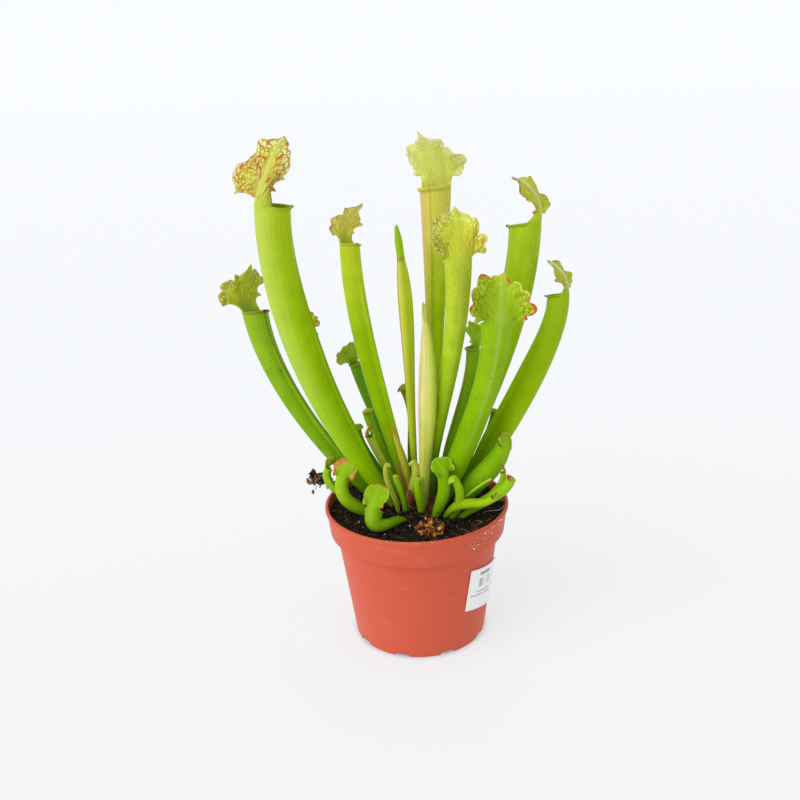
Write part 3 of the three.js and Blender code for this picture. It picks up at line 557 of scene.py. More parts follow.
def hood_faces(leaf, bases):
    spec, hood = leaf.spec, leaf.spec.hood
    v = 1 - (1 - np.linspace(0, 1, leaf.fine["hood"] + 1)[1:]) ** 1.25
    v, u = np.meshgrid(v, leaf.angles[leaf.is_hood] / leaf.neck, indexing="ij")
    length = margin(hood.edge, u)
    thick = spec.wall * (1 - 0.55 * v) * np.clip((1 - v) * 14, 0, 1) ** 0.5
    rib = np.exp(-(u * HOOD_FAN * length * np.maximum(v, 0.15)) ** 2)
    raised = RIB_HIGH * rib * (1 - v) ** 0.7 * smooth_step(0.0, 0.3, v)
    pucker = PUCKER * np.sin(u * 26 + v * 5) * np.sin(v * 17 + u * 6) * smooth_step(0.2, 0.6, v)
    faces = []
    for side, base in enumerate(bases):
        inset = (thick + raised if side else -raised) + pucker
        points = hood_surface(leaf.tube, hood, leaf.neck, leaf.drop[leaf.is_hood], u, v, inset)
        numbers = leaf.skin.grid(
            points, along=length * v, u=u, east=np.sin(u * leaf.neck),
            back=np.cos(u * leaf.neck), rim=length * (1 - v), inside=float(side), rib=rib)
        faces.append(np.concatenate([base[leaf.is_hood][None], numbers]))
        leaf.skin.sheet(faces[-1])
    for rim in (np.s_[-1], np.s_[:, 0], np.s_[:, -1]):
        leaf.skin.sheet([face[rim] for face in faces])


def pitcher(name, spec, material, node, fine):
    leaf = start_leaf(spec, fine)
    outer, inner = walls(leaf)
    leaf.skin.sheet(outer, closed=True)
    leaf.skin.sheet(inner, closed=True)
    # The lip's crest joins the two sides, except under the hood.
    crest = np.array([outer[-1], inner[0]])
    first, last = leaf.is_hood.start, leaf.is_hood.stop
    leaf.skin.sheet(np.concatenate([crest[:, last - 1:], crest[:, :first + 1]], axis=1))
    leaf.skin.cap(leaf.tube.at(0.0), outer[0], along=-leaf.tube.length)
    leaf.skin.cap(leaf.tube.at(spec.cavity), inner[-1], along=-leaf.tube.length, inside=1.0)
    hood_faces(leaf, (outer[-1], inner[0]))
    place_piece(leaf.skin.build(name, material), spec.slot, node)


print("pitcher builder ready")

# %% [markdown]
# ## The green of a leaf
# One material function paints all leaves, in layers. Its numbers come as a look: a few
# defaults, and what a leaf has of its own. The layers share some noises and masks, which are
# made once. Streaks are noise that is stretched along the leaf, so they look like veins.

# %% A look, and what its layers share
PLAIN_LOOK = {
    "cells": None, "flush": None, "bloom": None, "rib": None, "lip": None, "spout": None,
    "keel": None, "edge_width": 1.6, "edge_patch": (0.36, 0.56), "margin_amount": 0.5,
    "rib_amount": 0.5, "net_width": 0.12, "net_least": 0.4, "clear": 0.22, "tube_net": 0.0,
    "specks": 0.0, "stripes": 0.1,
}
FLESH = {"Subsurface_Weight": 0.1, "Subsurface_Scale": 0.0012,
         "Subsurface_Radius": (0.8, 0.8, 0.3)}
MARGIN_LINE, SPECK, HOLLOW_SHADE = "d6d66e", "26180c", "465016"


def start_leaf_finish(name, seed):
    """A finish with the attributes and noises that all layers of a leaf share."""
    finish = Finish(name, Specular_IOR_Level=0.06, **FLESH)
    for mark in ("along", "u", "east", "back", "rim", "inside"):
        setattr(finish, mark, finish.read(mark))
    away = (seed, seed * 0.7, -seed)
    finish.shift = finish.place.node("ShaderNodeVectorMath", {"operation": "ADD"},
                                     {0: finish.place, 1: away})
    finish.noise = lambda scale, detail=2.0: noise_at(finish.shift, scale, detail)
    finish.cloud, finish.mottle = finish.noise(90.0, 3.0), finish.noise(420.0)
    finish.bend = finish.noise(240.0) - 0.5
    finish.streak = noise_at(
        vector(finish.east * 3.4, finish.back * 3.4, finish.along * 0.006 + seed), 2.2, 3.0)
    finish.fine = noise_at(
        vector(finish.east * 9.0, finish.back * 9.0, finish.along * 0.01 + seed), 3.0, 1.0)
    finish.hood = step(finish.along, -2.0, 3.0)
    return finish


print("a look has", len(PLAIN_LOOK), "defaults")

# %% [markdown]
# The ground colour runs from a pale top to a deeper green foot, a little unevenly. On the hood
# lies a net of veins. It is two layers of cells, long ones near the neck and small ones near
# the margin, laid in the blade's own fan coordinates so that the veins follow its growth. A
# green zone along the midrib stays clear of it.

# %% Ground and net
def leaf_ground(finish, look):
    """Three greens down the tube and a fourth on the blade, with faint streaks."""
    height = finish.along + (finish.cloud - 0.5) * 60.0
    colour = mix(step(height, -150.0, -60.0), look.foot, look.middle)
    colour = mix(step(height, -70.0, -4.0), colour, look.top)
    colour = mix(step(finish.along, -1.0, 4.5), colour, look.blade)
    shade = ((finish.streak - 0.5) * (look.stripes * 1.5)
             + (finish.fine - 0.5) * (look.stripes * 0.6) + (finish.mottle - 0.5) * 0.12)
    return tint(colour, 1.0 + shade * (1 - finish.hood * 0.8) + (finish.cloud - 0.5) * 0.25)


def hood_net(finish, look, colour):
    """Gives the colour with the net on it, and the net's own lines."""
    u, along, bend = finish.u, finish.along, finish.bend
    long_net = cell_edges(vector(u * 8.0 + bend * 0.5, along * 0.17 + bend * 0.8, look.seed))
    small_net = cell_edges(vector(u * 15.0 + bend, along * 0.36 + bend, look.seed + 4.0))
    width = look.net_width * (0.7 + finish.noise(330.0) * 0.8)
    near = step(long_net / width, 1.0, 0.25)
    far = step(small_net / (width * 1.2), 1.0, 0.25)
    outward = step(along + abs(u) * 6.0, 7.0, 15.0)
    lines = (near * (1 - outward) + far * outward) * step(along, -2.0, 5.0)
    if look.cells:
        pale = (1 - lines) * step(finish.rim, 9.0, 1.0) * outward
        colour = mix(pale * 0.8, colour, look.cells)
    net, amount = look.net
    off_rib = step(abs(u), look.clear * 0.3, look.clear * 1.5)
    patch = step(finish.noise(130.0), 0.30, 0.62)
    strength = (look.net_least + patch * (1 - look.net_least)) * (0.25 + off_rib * 0.75)
    return mix(lines * strength * amount, colour, net), lines


print("ground and net ready")

# %% [markdown]
# The tube has touches of its own: a faint net that runs down from the mouth, a pale painted
# sheen on its back, which on the one leaf that has it is the side lit by the lamp, and on one
# leaf a flank that is flushed with another colour. Then come the lines: midrib, margin, a
# blushing edge in patches, the lip, the dark spout and the keel of the wing.

# %% Touches and lines
def tube_touches(finish, look, colour):
    along, east, back, bend = finish.along, finish.east, finish.back, finish.bend
    uneven = (finish.streak - 0.5) * 0.5
    if look.tube_net:
        coarse = cell_edges(vector(east * 5.0 + bend, back * 5.0 + bend, along * 0.34 + look.seed))
        threads = step(coarse, 0.16, 0.03) * step(along, -50.0, -4.0) * (1 - finish.hood)
        colour = tint(colour, 1 - threads * look.tube_net * (0.4 + finish.cloud))
    # A painted sheen: the tube's back, the side that faces the lamp on the leaf that has it, is
    # paled.
    if look.bloom:
        pale = step(back + uneven, -0.5, 1.0) * (1 - finish.inside) * (1 - finish.hood)
        pale = pale * step(along, -170.0, -70.0)
        colour = mix(pale * (0.1 + finish.streak * 0.45), colour, look.bloom)
    if look.flush:
        flank = step(uneven - east + along * 0.0045, 0.02, 0.45) * step(0 - back, -0.35, 0.1)
        flank = flank * (1 - finish.inside) * (1 - finish.hood)
        colour = mix(flank * (0.45 + finish.streak * 0.5), colour, look.flush)
    return colour


def leaf_lines(finish, look, colour):
    if look.rib:
        colour = mix(finish.read("rib") * look.rib_amount, colour, look.rib)
    at_margin = step(finish.rim + finish.bend * 0.8, 1.1, 0.3)
    colour = mix(at_margin * look.margin_amount, colour, MARGIN_LINE)
    edge, amount = look.edge
    ragged = finish.rim + (finish.mottle - 0.5) * (look.edge_width * 1.6)
    patch = step(finish.noise(85.0, 1.0), *look.edge_patch)
    at_edge = step(ragged, look.edge_width, look.edge_width * 0.3)
    colour = mix(at_edge * patch * amount, colour, edge)
    if look.lip:
        colour = mix(finish.read("lip") * 0.85, colour, look.lip)
    if look.spout:
        colour = mix(step(finish.read("spout"), 0.35, 0.8), colour, look.spout)
    if look.keel:
        colour = mix(step(finish.read("wing"), 0.45, 0.9) * 0.75, colour, look.keel)
    if look.specks:
        chosen = step(finish.noise(60.0, 1.0), 0.56, 0.6)
        dots = step(dots_at(finish.shift, 420.0), 0.2, 0.14)
        colour = mix(dots * chosen * look.specks, colour, SPECK)
    return colour


print("touches and lines ready")

# %% [markdown]
# Two painted shadows of the living plant close the recipe. Between the leaves' feet everything
# is painted darker, because light hardly gets there, and the hollow inside is painted darker
# towards its depth.

# %% The leaf's finish
def leaf_finish(name, **own):
    """A leaf's material, from what its look has besides the defaults."""
    look = SimpleNamespace(**{**PLAIN_LOOK, **own})
    finish = start_leaf_finish(name, look.seed)
    colour, lines = hood_net(finish, look, leaf_ground(finish, look))
    colour = leaf_lines(finish, look, tube_touches(finish, look, colour))
    # Painted shade: the colour darkens low down, near the peat, between the leaves' feet.
    level = finish.axis(2) + (finish.cloud - 0.5) * 0.01
    colour = tint(colour, 0.62 + step(level, 0.072, 0.1) * 0.38)
    # Painted shade: the inside of the tube darkens towards its depth.
    colour = mix(finish.inside * step(finish.along, 2.0, -30.0) * 0.6, colour, HOLLOW_SHADE)
    relief = lines * 0.5 + finish.streak * 0.25 + finish.fine * 0.12 + finish.mottle * 0.3
    return finish.done(colour, 0.34 + finish.cloud * 0.14 + lines * 0.08, relief, 0.22 * MM)


print("leaf finish ready")

# %% [markdown]
# ## The tall pitchers
# Eleven open pitchers, each with the same numbers as its solid, and then its own notches and
# colours. A table of plain calls describes them, so that one leaf can be changed without
# touching the others. Every path starts at the same height, down in the peat.

# %% How a tall pitcher is described
GREEN, PALE, DARK = "green_leaf", "pale_leaf", "dark_leaf"
FOOT = 73.0
GREENS = ("top", "middle", "foot", "blade")
HOOD_NUMBERS = ("height", "reach", "lean", "arch", "neck", "twist", "sway", "reflex", "depth",
                "phase", "edge")


def rooted(path):
    """The path with its first point, given as x and y, at the height of all feet."""
    return [(*path[0], FOOT), *path[1:]]


def tall(path, girth, facing, wing, tilt, hood, greens, slot=GREEN,
         notches=(-0.72, -0.4, 0.4, 0.72), notch=3.0, ruffle=1.1, spike=2.5, roll=0, lip_size=1.0,
         embrace=66, **look):
    """Lengths in millimetres and angles in degrees. greens go from the top to the blade."""
    hood = SimpleNamespace(**dict(zip(HOOD_NUMBERS, hood)))
    hood.lobes = lobe_maker(notches, notch, ruffle, spike)
    return SimpleNamespace(
        path=rooted(path), girth=girth, facing=facing, wing=wing, tilt=tilt, roll=roll,
        lip=lip_size, wall=1.0, embrace=embrace, cavity=0.55, fuller=1.0, slot=slot, hood=hood,
        look={"tube_net": 0.07, **dict(zip(GREENS, greens.split())), **look})


print("a hood takes", len(HOOD_NUMBERS), "numbers")

# %% [markdown]
# Each call gives a path, four radii, the way that the mouth faces, the wing's height and the
# mouth's tilt. The hood's numbers follow in the order of the last cell, and end with the nine
# lengths of its margin. Then come four greens, as one sees them on screen, from the mouth and
# the middle down to the foot, and last the blade's. A net or an edge comes with its strength.

# %% The tall pitchers
TALL = {
    "left_tallest": tall([(-7, 4), (-48, -10, 126), (-75, -16, 206), (-70, -22, 267)],
        [2.6, 7.2, 9.6, 9.5], 12, 3, 4,
        (33, 14, -17, 30, 12, 40, 0, -0.2, 2.6, 0.3, [9, 10, 14, 23, 27, 25, 29, 33, 32]),
        "b2cc1c a2ca00 94c400 c6d454", notches=(-0.8, -0.55, -0.2, 0.16, 0.42, 0.7, 0.9),
        notch=3.4, ruffle=1.4, spike=1.2, roll=9, embrace=84, clear=0.1, net_least=0.55,
        bloom="ced67a", net=("b22e26", 0.9), edge=("96161e", 0.6), net_width=0.13, cells="eceaaa",
        edge_width=1.8, lip="96b028", spout="4a3e12", keel="708c0a", rib="ccd86e", stripes=0.14,
        seed=1.3),
    "left_low": tall([(-15, 9), (-40, 12, 96), (-86, 28, 146), (-92, 35, 196)],
        [2.5, 5.8, 5.6, 7.8], -38, 3, 1,
        (27, 14, 9, 32, 11, -5, 24, 0.1, 2.2, 0, [17, 14, 13, 10, 16, 17, 19, 15, 14]),
        "94b824 7aaa0c 689c06 becc2c", slot=DARK, notches=(-0.78, -0.5, -0.2, 0.14, 0.4, 0.68),
        notch=2.6, ruffle=1.2, roll=7, net=("8c6818", 0.6), cells="ced278", edge=("be5040", 0.3),
        edge_width=1.4, lip="968a38", spout="5c401a", keel="607a14", rib="aab254", specks=0.6,
        stripes=0.12, seed=2.6),
    "left_hidden": tall([(-13, 18), (-30, 22, 104), (-59, 30, 138), (-61, 33, 182)],
        [2.0, 3.6, 5.0, 4.8], -80, 2.5, 12,
        (13, 7, -4, 30, 4, 0, 0, 0.1, 1.0, 0.4, [6, 6.5, 7, 8, 8.5, 8.5, 8, 7.5, 7]),
        "b2c846 92ba1e 709e0e ced04c", slot=PALE, notch=1.6, ruffle=0.9, spike=1.5,
        net=("aa6e2c", 0.6), edge=("ba6e3c", 0.5), edge_width=1.2, lip="bac24a", rib="bec864",
        seed=3.9),
    "centre_left": tall([(-2, 14), (-16, 16, 130), (-33, 18, 187), (-33, 25, 236)],
        [2.4, 5.6, 6.8, 5.8], -48, 3, 1,
        (24, 10.5, 2, 42, 8, 5, 32, 0.1, 2.2, -0.3, [10, 9, 12, 12, 17.5, 15, 15, 12, 9]),
        "cade2c 9ec600 98c200 ece860", notches=(-0.76, -0.48, -0.22, 0.2, 0.46, 0.74), notch=2.4,
        ruffle=1.3, spike=1.4, roll=7, net=("b06e22", 0.6), net_width=0.085, cells="e8e096",
        edge=("963e22", 0.55), edge_width=1.3, lip="bec046", spout="aaac3c", rib="b0be54",
        seed=5.2),
    "back_low": tall([(-6, 21), (-12, 27, 105), (-28, 44, 131), (-35, 49, 157)],
        [1.9, 2.6, 3.7, 3.6], -60, 1.8, 10,
        (14, 8, 4, 60, 3, 0, 0, 0.3, 1.1, 0.2, [8, 8.5, 9, 9, 11, 9.5, 9, 8.5, 8]),
        "709e1a 609210 548808 b0c83c", slot=DARK, notch=1.4, ruffle=0.7, spike=1.6,
        net=("8c8224", 0.35), edge=("a06e2c", 0.5), edge_width=0.9, lip="8ca632", seed=6.5),
    "back_tallest": tall([(7, 17), (13, 18, 136), (16, 24, 199), (17, 28, 266)],
        [2.4, 2.4, 6.0, 9.0], -112, 3.4, -1,
        (27, 17.5, -5, 34, 10, -18, -12, 0.1, 2.2, -0.4, [17, 25, 23, 19, 21, 18.5, 17, 19, 14]),
        "ded65c a8c408 96b004 d6de68", slot=PALE,
        notches=(-0.82, -0.56, -0.3, -0.12, 0.14, 0.4, 0.62, 0.84), notch=2.6, ruffle=1.3,
        spike=3.2, lip_size=1.35, embrace=86, roll=-6, flush="e2b876", net=("b4b846", 0.45),
        cells="eeeabe", clear=0.1, edge=("e8e4a0", 0.7), edge_width=2.6, lip="c4c84e",
        keel="baa846", rib="dee282", rib_amount=0.7, seed=7.8),
    "front_centre": tall([(8, 7), (7, 1, 126), (28, -13, 173), (26, -22, 236)],
        [2.2, 4.4, 4.8, 7.5], 100, 2.6, 12,
        (25, 14, 2, 50, 7, -8, 3, 0.35, 2.2, 0.4, [12, 13, 12.5, 17, 20.5, 19.5, 18, 15, 10]),
        "c4d43c a6c618 88aa04 ced83e", notches=(-0.8, -0.54, -0.26, 0.24, 0.5, 0.76), notch=2.6,
        ruffle=1.3, spike=3.0, embrace=84, tube_net=0.16, net=("966222", 0.8), cells="e2e282",
        clear=0.3, edge=("d8d078", 0.5), edge_width=2.0, lip="bac446", rib="c4d054", seed=9.1),
    "front_right": tall([(13, 0), (21, -10, 112), (44, -22, 152), (46, -30, 202)],
        [2.6, 9.6, 5.2, 8.5], 94, 3, 12,
        (26, 17, 3, 52, 8, -4, -5, 0.6, 2.0, -0.2, [11, 16, 15.5, 17, 18, 21, 19, 17, 13]),
        "92bc10 82b000 72a200 9ec21e", notches=(-0.84, -0.6, -0.36, -0.14, 0.2, 0.46, 0.7, 0.88),
        notch=3.0, ruffle=1.4, spike=2.6, embrace=84, net=("746814", 0.55), edge=("c4221e", 0.9),
        clear=0.3, edge_patch=(0.47, 0.53), margin_amount=0.7, cells="bece3c", edge_width=1.9,
        lip="a0b23c", rib="b2c860", specks=0.9, seed=10.4),
    "right_tall": tall([(17, 11), (36, 6, 128), (65, 8, 189), (66, 12, 247)],
        [2.6, 3.8, 8.6, 9.1], 178, 3.2, 7,
        (28, 11, 7, 69, 8, -22, 10, -0.05, 2.2, 0.5, [18, 15, 19, 20, 23.5, 22.5, 17, 11, 10]),
        "acc824 9ec400 8cb800 c8d442", notches=(-0.8, -0.5, -0.24, 0.22, 0.5, 0.78), notch=2.8,
        ruffle=1.3, spike=1.0, roll=-9, embrace=78, net=("aa6032", 0.4), net_width=0.09,
        edge_patch=(0.42, 0.52), edge=("963a28", 0.75), edge_width=1.4, lip="92ac2c",
        spout="403214", keel="785a22", rib="eef0d6", rib_amount=1.0, seed=11.7),
    "right_far": tall([(22, 4), (44, 2, 113), (86, 2, 176), (84, 5, 207)], [2.5, 8.2, 6.0, 6.3],
        176, 3, 7,
        (20, 8.5, 0, 50, 5, -20, 6, -0.05, 1.8, -0.5, [15, 13, 12, 15, 17, 16, 13, 10, 7.5]),
        "a0c01a 98be00 90ba00 c2d03c", notches=(-0.8, -0.5, -0.2, 0.2, 0.5, 0.78), notch=2.2,
        ruffle=1.1, spike=1.0, roll=-9, embrace=78, net=("aa6032", 0.4), net_width=0.09,
        edge_patch=(0.42, 0.52), edge=("963a28", 0.7), edge_width=1.3, lip="8ca42c",
        spout="423416", rib="eaecc8", rib_amount=1.0, seed=13.0),
    "back_right": tall([(14, 19), (19, 20, 112), (39, 34, 138), (38, 38, 168)],
        [2.0, 4.4, 4.4, 4.2], -140, 2, 10,
        (17, 9, 4, 50, 3, 0, 0, 0.2, 1.3, 0.6, [8, 10, 11, 11, 13, 11, 10, 9, 8]),
        "8cb616 70a20a 609404 a4c824", slot=DARK, notch=1.6, ruffle=0.8, spike=1.8,
        net=("78821e", 0.35), edge=("bebe5a", 0.6), edge_width=1.0, lip="8ca632", keel="967828",
        seed=14.3),
}

FINE = {"rows": 72, "spans": 64, "front": 34, "deep": 22, "hood": 40}
for key, spec in TALL.items():
    material = leaf_finish("leaf_" + key, **spec.look)
    pitcher("leaf_" + key, spec, material, "pitcher_" + key, FINE)
print("tall pitchers:", len(TALL))

# %% [markdown]
# ## The young pitchers
# Round the crown stand nineteen small ones. A young hood is an oval that hugs the mouth with a
# narrow neck, so its height and its reach to the side are enough to draw its margin. How far
# it has opened is told by its lean, its arch and how much of the mouth it embraces.

# %% How a young pitcher is described
YOUNG_LOOK = {
    "top": "96c214", "middle": "7ab006", "foot": "5a8c04", "blade": "9cc61e",
    "edge": ("cebe5a", 0.7), "edge_width": 1.0, "edge_patch": (0.2, 0.4), "stripes": 0.2,
    "margin_amount": 0.25, "net": ("786e28", 0.2), "rib": "aac83c", "rib_amount": 0.3,
}
# Moods that some of them share.
LIME = {"top": "baca42", "middle": "a0bc28", "blade": "c8d260"}
SHADED = {"top": "70a016", "middle": "64960e", "foot": "507e08", "blade": "7ca822"}
PINK_EDGE = {"edge": ("de7854", 0.9)}
RED_EDGE = {"edge": ("b0282c", 0.95)}
YELLOW_EDGE = {"edge": ("d6d460", 0.9)}
BROWN_EDGE = {"edge": ("aa5c28", 1.0)}


def oval(height, reach, least):
    """Nine lengths of an oval's margin, seen from its foot, and never below the least."""
    turn = np.linspace(-1, 1, 9) * HOOD_FAN
    cosine = np.maximum(0.02, np.cos(turn)) / (height / 2)
    return list(np.maximum(2 * cosine / ((np.sin(turn) / reach) ** 2 + cosine**2), least))


def young(path, girth, facing, height, reach, slot=GREEN, *moods, notch=0.4, ruffle=0.3, lean=-25,
          arch=130, reflex=-0.45, embrace=100, corner=0.5, tilt=-15, **own):
    neck = height * 0.15
    look = dict(YOUNG_LOOK)
    for mood in (*moods, own):
        look.update(mood)
    hood = SimpleNamespace(
        height=height, reach=reach, lean=lean, arch=arch, neck=neck, twist=0, sway=0,
        reflex=reflex, depth=reach * 0.06, phase=0,
        edge=oval(height - neck, reach, corner * reach),
        lobes=lobe_maker((-0.66, -0.3, 0.3, 0.66), notch, ruffle, 0.5))
    return SimpleNamespace(
        path=rooted(path), girth=girth, facing=facing, wing=girth[2] * 0.35, tilt=tilt, roll=0,
        lip=0.5, wall=0.6, embrace=embrace, cavity=0.78, fuller=0.4, slot=slot, hood=hood,
        look=look)


print("an oval of 10 by 6 mm:", np.round(oval(10, 3, 1), 1).tolist())

# %% [markdown]
# Each line of this table is one young pitcher: its path, its girth, the way it faces, the
# hood's height and reach, its slot and moods, and then what else it has of its own.

# %% The young pitchers
YOUNG = {
    "front_left": young([(-4, -8), (-8, -30, 92), (-30, -38, 76), (-24.5, -28, 93)],
        [0.6, 1.4, 5.4, 5.0], 72, 15.5, 7.2, GREEN, RED_EDGE, notch=0.5, edge_patch=(0.53, 0.6),
        edge_width=1.3, margin_amount=0.4, lean=-4, arch=30, reflex=0.12, corner=0.85, embrace=62,
        tilt=8, seed=21.0, top="86b60e", blade="8cbc12"),
    "left_capped": young([(-19, -3), (-34, -14, 86), (-48, -9, 88), (-43, -6, 104)],
        [1.6, 3.4, 4.4, 3.8], 88, 12, 6.8, GREEN, PINK_EDGE, notch=0.5, ruffle=0.5, lean=2,
        arch=8, reflex=0.05, corner=0.9, embrace=72, edge_width=3.4, edge_patch=(0.25, 0.4),
        seed=22.0),
    "left_edge": young([(-21, 5), (-44, 2, 86), (-57, 7, 94), (-52.5, 8, 103)],
        [1.4, 2.4, 2.8, 2.4], -60, 9, 3.0, GREEN, lean=4, arch=40, reflex=0.0,
        edge=("e69650", 1.0), edge_width=1.6, seed=23.0),
    "behind_left": young([(-11, 13), (-19, 13, 100), (-33, 12, 112), (-34, 11, 128)],
        [1.3, 1.8, 2.2, 2.6], -20, 8, 4.5, DARK, SHADED, seed=24.0),
    "middle_left": young([(-7, 16), (-12, 18, 98), (-24, 25, 112), (-28, 26, 132)],
        [1.3, 1.7, 2.2, 2.8], -40, 9, 4.4, GREEN, BROWN_EDGE, seed=25.0, edge_width=1.2),
    "inner_left": young([(-8, 9), (-13, 10, 94), (-22, 7, 110), (-26, 5, 124)],
        [1.2, 1.8, 2.2, 2.6], -20, 10, 4.2, PALE, LIME, RED_EDGE, lean=0, arch=70, seed=26.0,
        edge_width=1.4),
    "back_stem": young([(1, 22), (-8, 23, 108), (5, 25, 124), (-5, 25, 147)],
        [1.5, 2.0, 2.4, 2.8], -70, 10, 5, DARK, SHADED, BROWN_EDGE, seed=27.0, edge_width=2.0),
    "hooked_left": young([(-12, -8), (-8, -8, 88), (-21, -10, 100), (-17, -10, 112)],
        [1.0, 1.2, 1.5, 1.4], 10, 6, 1.5, PALE, LIME, YELLOW_EDGE, arch=150, seed=28.0),
    "knob": young([(-7, -6), (-6, -9, 90), (-11, -9, 98), (-12, -9, 104)], [1.3, 1.7, 1.8, 1.9],
        -60, 5.4, 2.0, arch=150, seed=29.0),
    "hook_centre": young([(-3, -4), (-9, -6, 90), (4, -7, 100), (-1, -6, 111)],
        [1.4, 1.8, 2.4, 2.3], 190, 7.5, 2.4, PALE, LIME, PINK_EDGE, arch=150, seed=30.0,
        edge_width=0.7),
    "hook_right": young([(2, -9), (4, -12, 86), (-1, -13, 94), (1, -12, 103)],
        [1.5, 2.2, 2.2, 2.1], 0, 6.5, 2.2, GREEN, arch=165, seed=31.0, blade="c4d46e"),
    "flared": young([(8, -12), (13, -19, 88), (18, -20, 98), (15.2, -20, 109.5)],
        [1.8, 3.2, 3.8, 3.6], 128, 11.5, 7.2, GREEN, notch=0.8, ruffle=0.7, lean=-6, arch=60,
        reflex=0.1, corner=0.85, embrace=95, seed=32.0, edge_width=0.8, top="82ba04",
        blade="86bc08", edge=("d6d460", 0.5)),
    "flared_right": young([(15, -13), (26, -21, 86), (28, -24, 97), (21.5, -24, 108)],
        [1.5, 2.2, 2.4, 2.3], 190, 8.5, 3.8, GREEN, YELLOW_EDGE, seed=33.0, blade="a8cc2c",
        arch=140),
    "right_open": young([(20, -4), (30, -10, 100), (44, -13, 104), (50.5, -14, 122)],
        [2.0, 6.4, 8.0, 4.6], 120, 13, 4.8, GREEN, RED_EDGE, notch=0.7, edge_patch=(0.48, 0.54),
        margin_amount=0.7, tilt=-30, ruffle=0.5, lean=-30, arch=40, reflex=-0.1, corner=0.7,
        embrace=130, seed=34.0, edge_width=1.4, top="84b60a", blade="8cba10"),
    "right_inner": young([(23, 12), (30, 12, 90), (37, 14, 96), (42, 16, 106)],
        [1.4, 2.4, 2.8, 2.6], 190, 7, 3.6, DARK, SHADED, RED_EDGE, seed=35.0),
    "right_behind": young([(21, 20), (34, 24, 92), (47, 25, 112), (50, 25, 129)],
        [1.4, 1.9, 2.2, 2.6], 200, 9, 4.4, DARK, SHADED, BROWN_EDGE, seed=36.0, edge_width=3.0),
    "right_spur": young([(21, -10), (38, -17, 90), (50, -20, 94), (50, -21, 109)],
        [1.3, 2.2, 2.6, 1.6], 170, 6, 1.7, GREEN, BROWN_EDGE, lean=-5, arch=40, seed=37.0,
        edge_width=1.6, blade="c48238"),
    "right_low": young([(19, -14), (37, -22, 94), (49, -27, 96), (53.5, -28, 108)],
        [1.4, 2.8, 3.4, 2.8], 130, 6.5, 3.0, GREEN, RED_EDGE, seed=38.0, edge_width=2.6,
        blade="be7440"),
    "right_lying": young([(14, -13), (20, -22, 97), (35, -31, 91), (42.5, -33, 99)],
        [1.4, 2.3, 2.8, 1.8], 140, 5, 1.8, GREEN, RED_EDGE, lean=-5, arch=60, seed=39.0,
        edge_width=1.4, top="a0c614"),
}

SMALL = {"rows": 40, "spans": 36, "front": 20, "deep": 12, "hood": 24}
for key, spec in YOUNG.items():
    material = leaf_finish("sprout_" + key, **spec.look)
    pitcher("sprout_" + key, spec, material, "young_" + key, SMALL)
print("young pitchers:", len(YOUNG))

# %% [markdown]
# ## The spears
# Three leaves haven't opened yet, and a sliver of one lies beside them. A spear is the same
# tube, flattened, with no mouth and a pinched tip. Strips of other colours run along it where
# the folded wing lies. They could be painted by hand, but the finish only has to read how far
# round and how far along each point is, and then the strips end in streaks by themselves.

# %% The finish of a spear
def spear_finish(name, colours, seed, pinch):
    body, left, right, seam, tip, ring_colour = colours
    finish = Finish(name, Specular_IOR_Level=0.12, **FLESH)
    share, east, back = finish.read("share"), finish.read("east"), finish.read("back")
    streak = noise_at(vector(east * 3.0, back * 3.0, share * 1.4 + seed), 2.4, 3.0)
    cloud = noise_at(finish.place, 80.0 + seed, 3.0)
    across = east + (streak - 0.5) * 0.5
    colour = mix(step(share + (cloud - 0.5) * 0.3, 0.3, 0.7), right, body)
    colour = mix(step(across, 0.1, 0.8), colour, right)
    colour = mix(step(across, -0.45, -0.95) * 0.85, colour, left)
    colour = tint(colour, 0.9 + (streak - 0.5) * 0.5 + cloud * 0.2)
    line = step(abs(east - 0.12), 0.1, 0.02) * step(back, -0.2, -0.6)
    colour = mix(line * step(share, 0.3, 0.5) * 0.6, colour, seam)
    colour = mix(step(abs(share - pinch), 0.018, 0.0) * 0.5, colour, ring_colour)
    colour = mix(step(share, pinch + 0.005, pinch + 0.018), colour, tip)
    return finish.done(colour, 0.36 + cloud * 0.14, streak, 0.2 * MM)


print("spear finish ready")

# %% [markdown]
# The widths of a spear are pairs of a place along it and a half width there. Rings follow them,
# flattened by two factors, with a keel for the wing and shallow ridges for the folds.

# %% The spears
SPEAR_SIDES, SPEAR_ROWS = 72, 120


def spear(name, stands_for, slot, colours, path, widths, wing, facing, flat, seed, pinch=0.887):
    tube, skin = Tube(path, [1, 1, 1, 1], facing), Skin()
    turn = turns(SPEAR_SIDES) - np.pi
    places, sizes = zip(*widths)
    rings = []
    for share in np.linspace(0, 0.99, SPEAR_ROWS):
        half = sum(np.interp(share + d, places, sizes) for d in (-0.02, 0, 0.02)) / 3
        fold = smooth_step(0.2, 0.5, share)
        deep, wide = 1 + (flat[0] - 1) * fold, 1 + (flat[1] - 1) * fold
        wrap = np.where(turn > 0.5, 0.06, 0.0) * smooth_step(0.3, 0.5, share)
        radius = half * np.hypot(deep * np.cos(turn), wide * np.sin(turn)) * (1 + wrap)
        off_wing = np.pi - np.abs(turn)
        keel = wing * smooth_step(0.15, 0.4, share) * np.exp(-(off_wing / 0.22) ** 2)
        ridge = 0.05 * np.cos(turn * 9) * smooth_step(0.1, 0.4, share)
        points = tube.point(np.full_like(turn, share), turn, radius + keel + ridge)
        rings.append(skin.grid(points, share=share, east=np.sin(turn), back=np.cos(turn)))
    skin.sheet(rings, closed=True)
    skin.cap(tube.at(0.0), rings[0])
    skin.cap(tube.at(1.0), rings[-1], share=1.0)
    place_piece(skin.build(name, spear_finish(name, colours, seed, pinch)), slot, *stands_for)


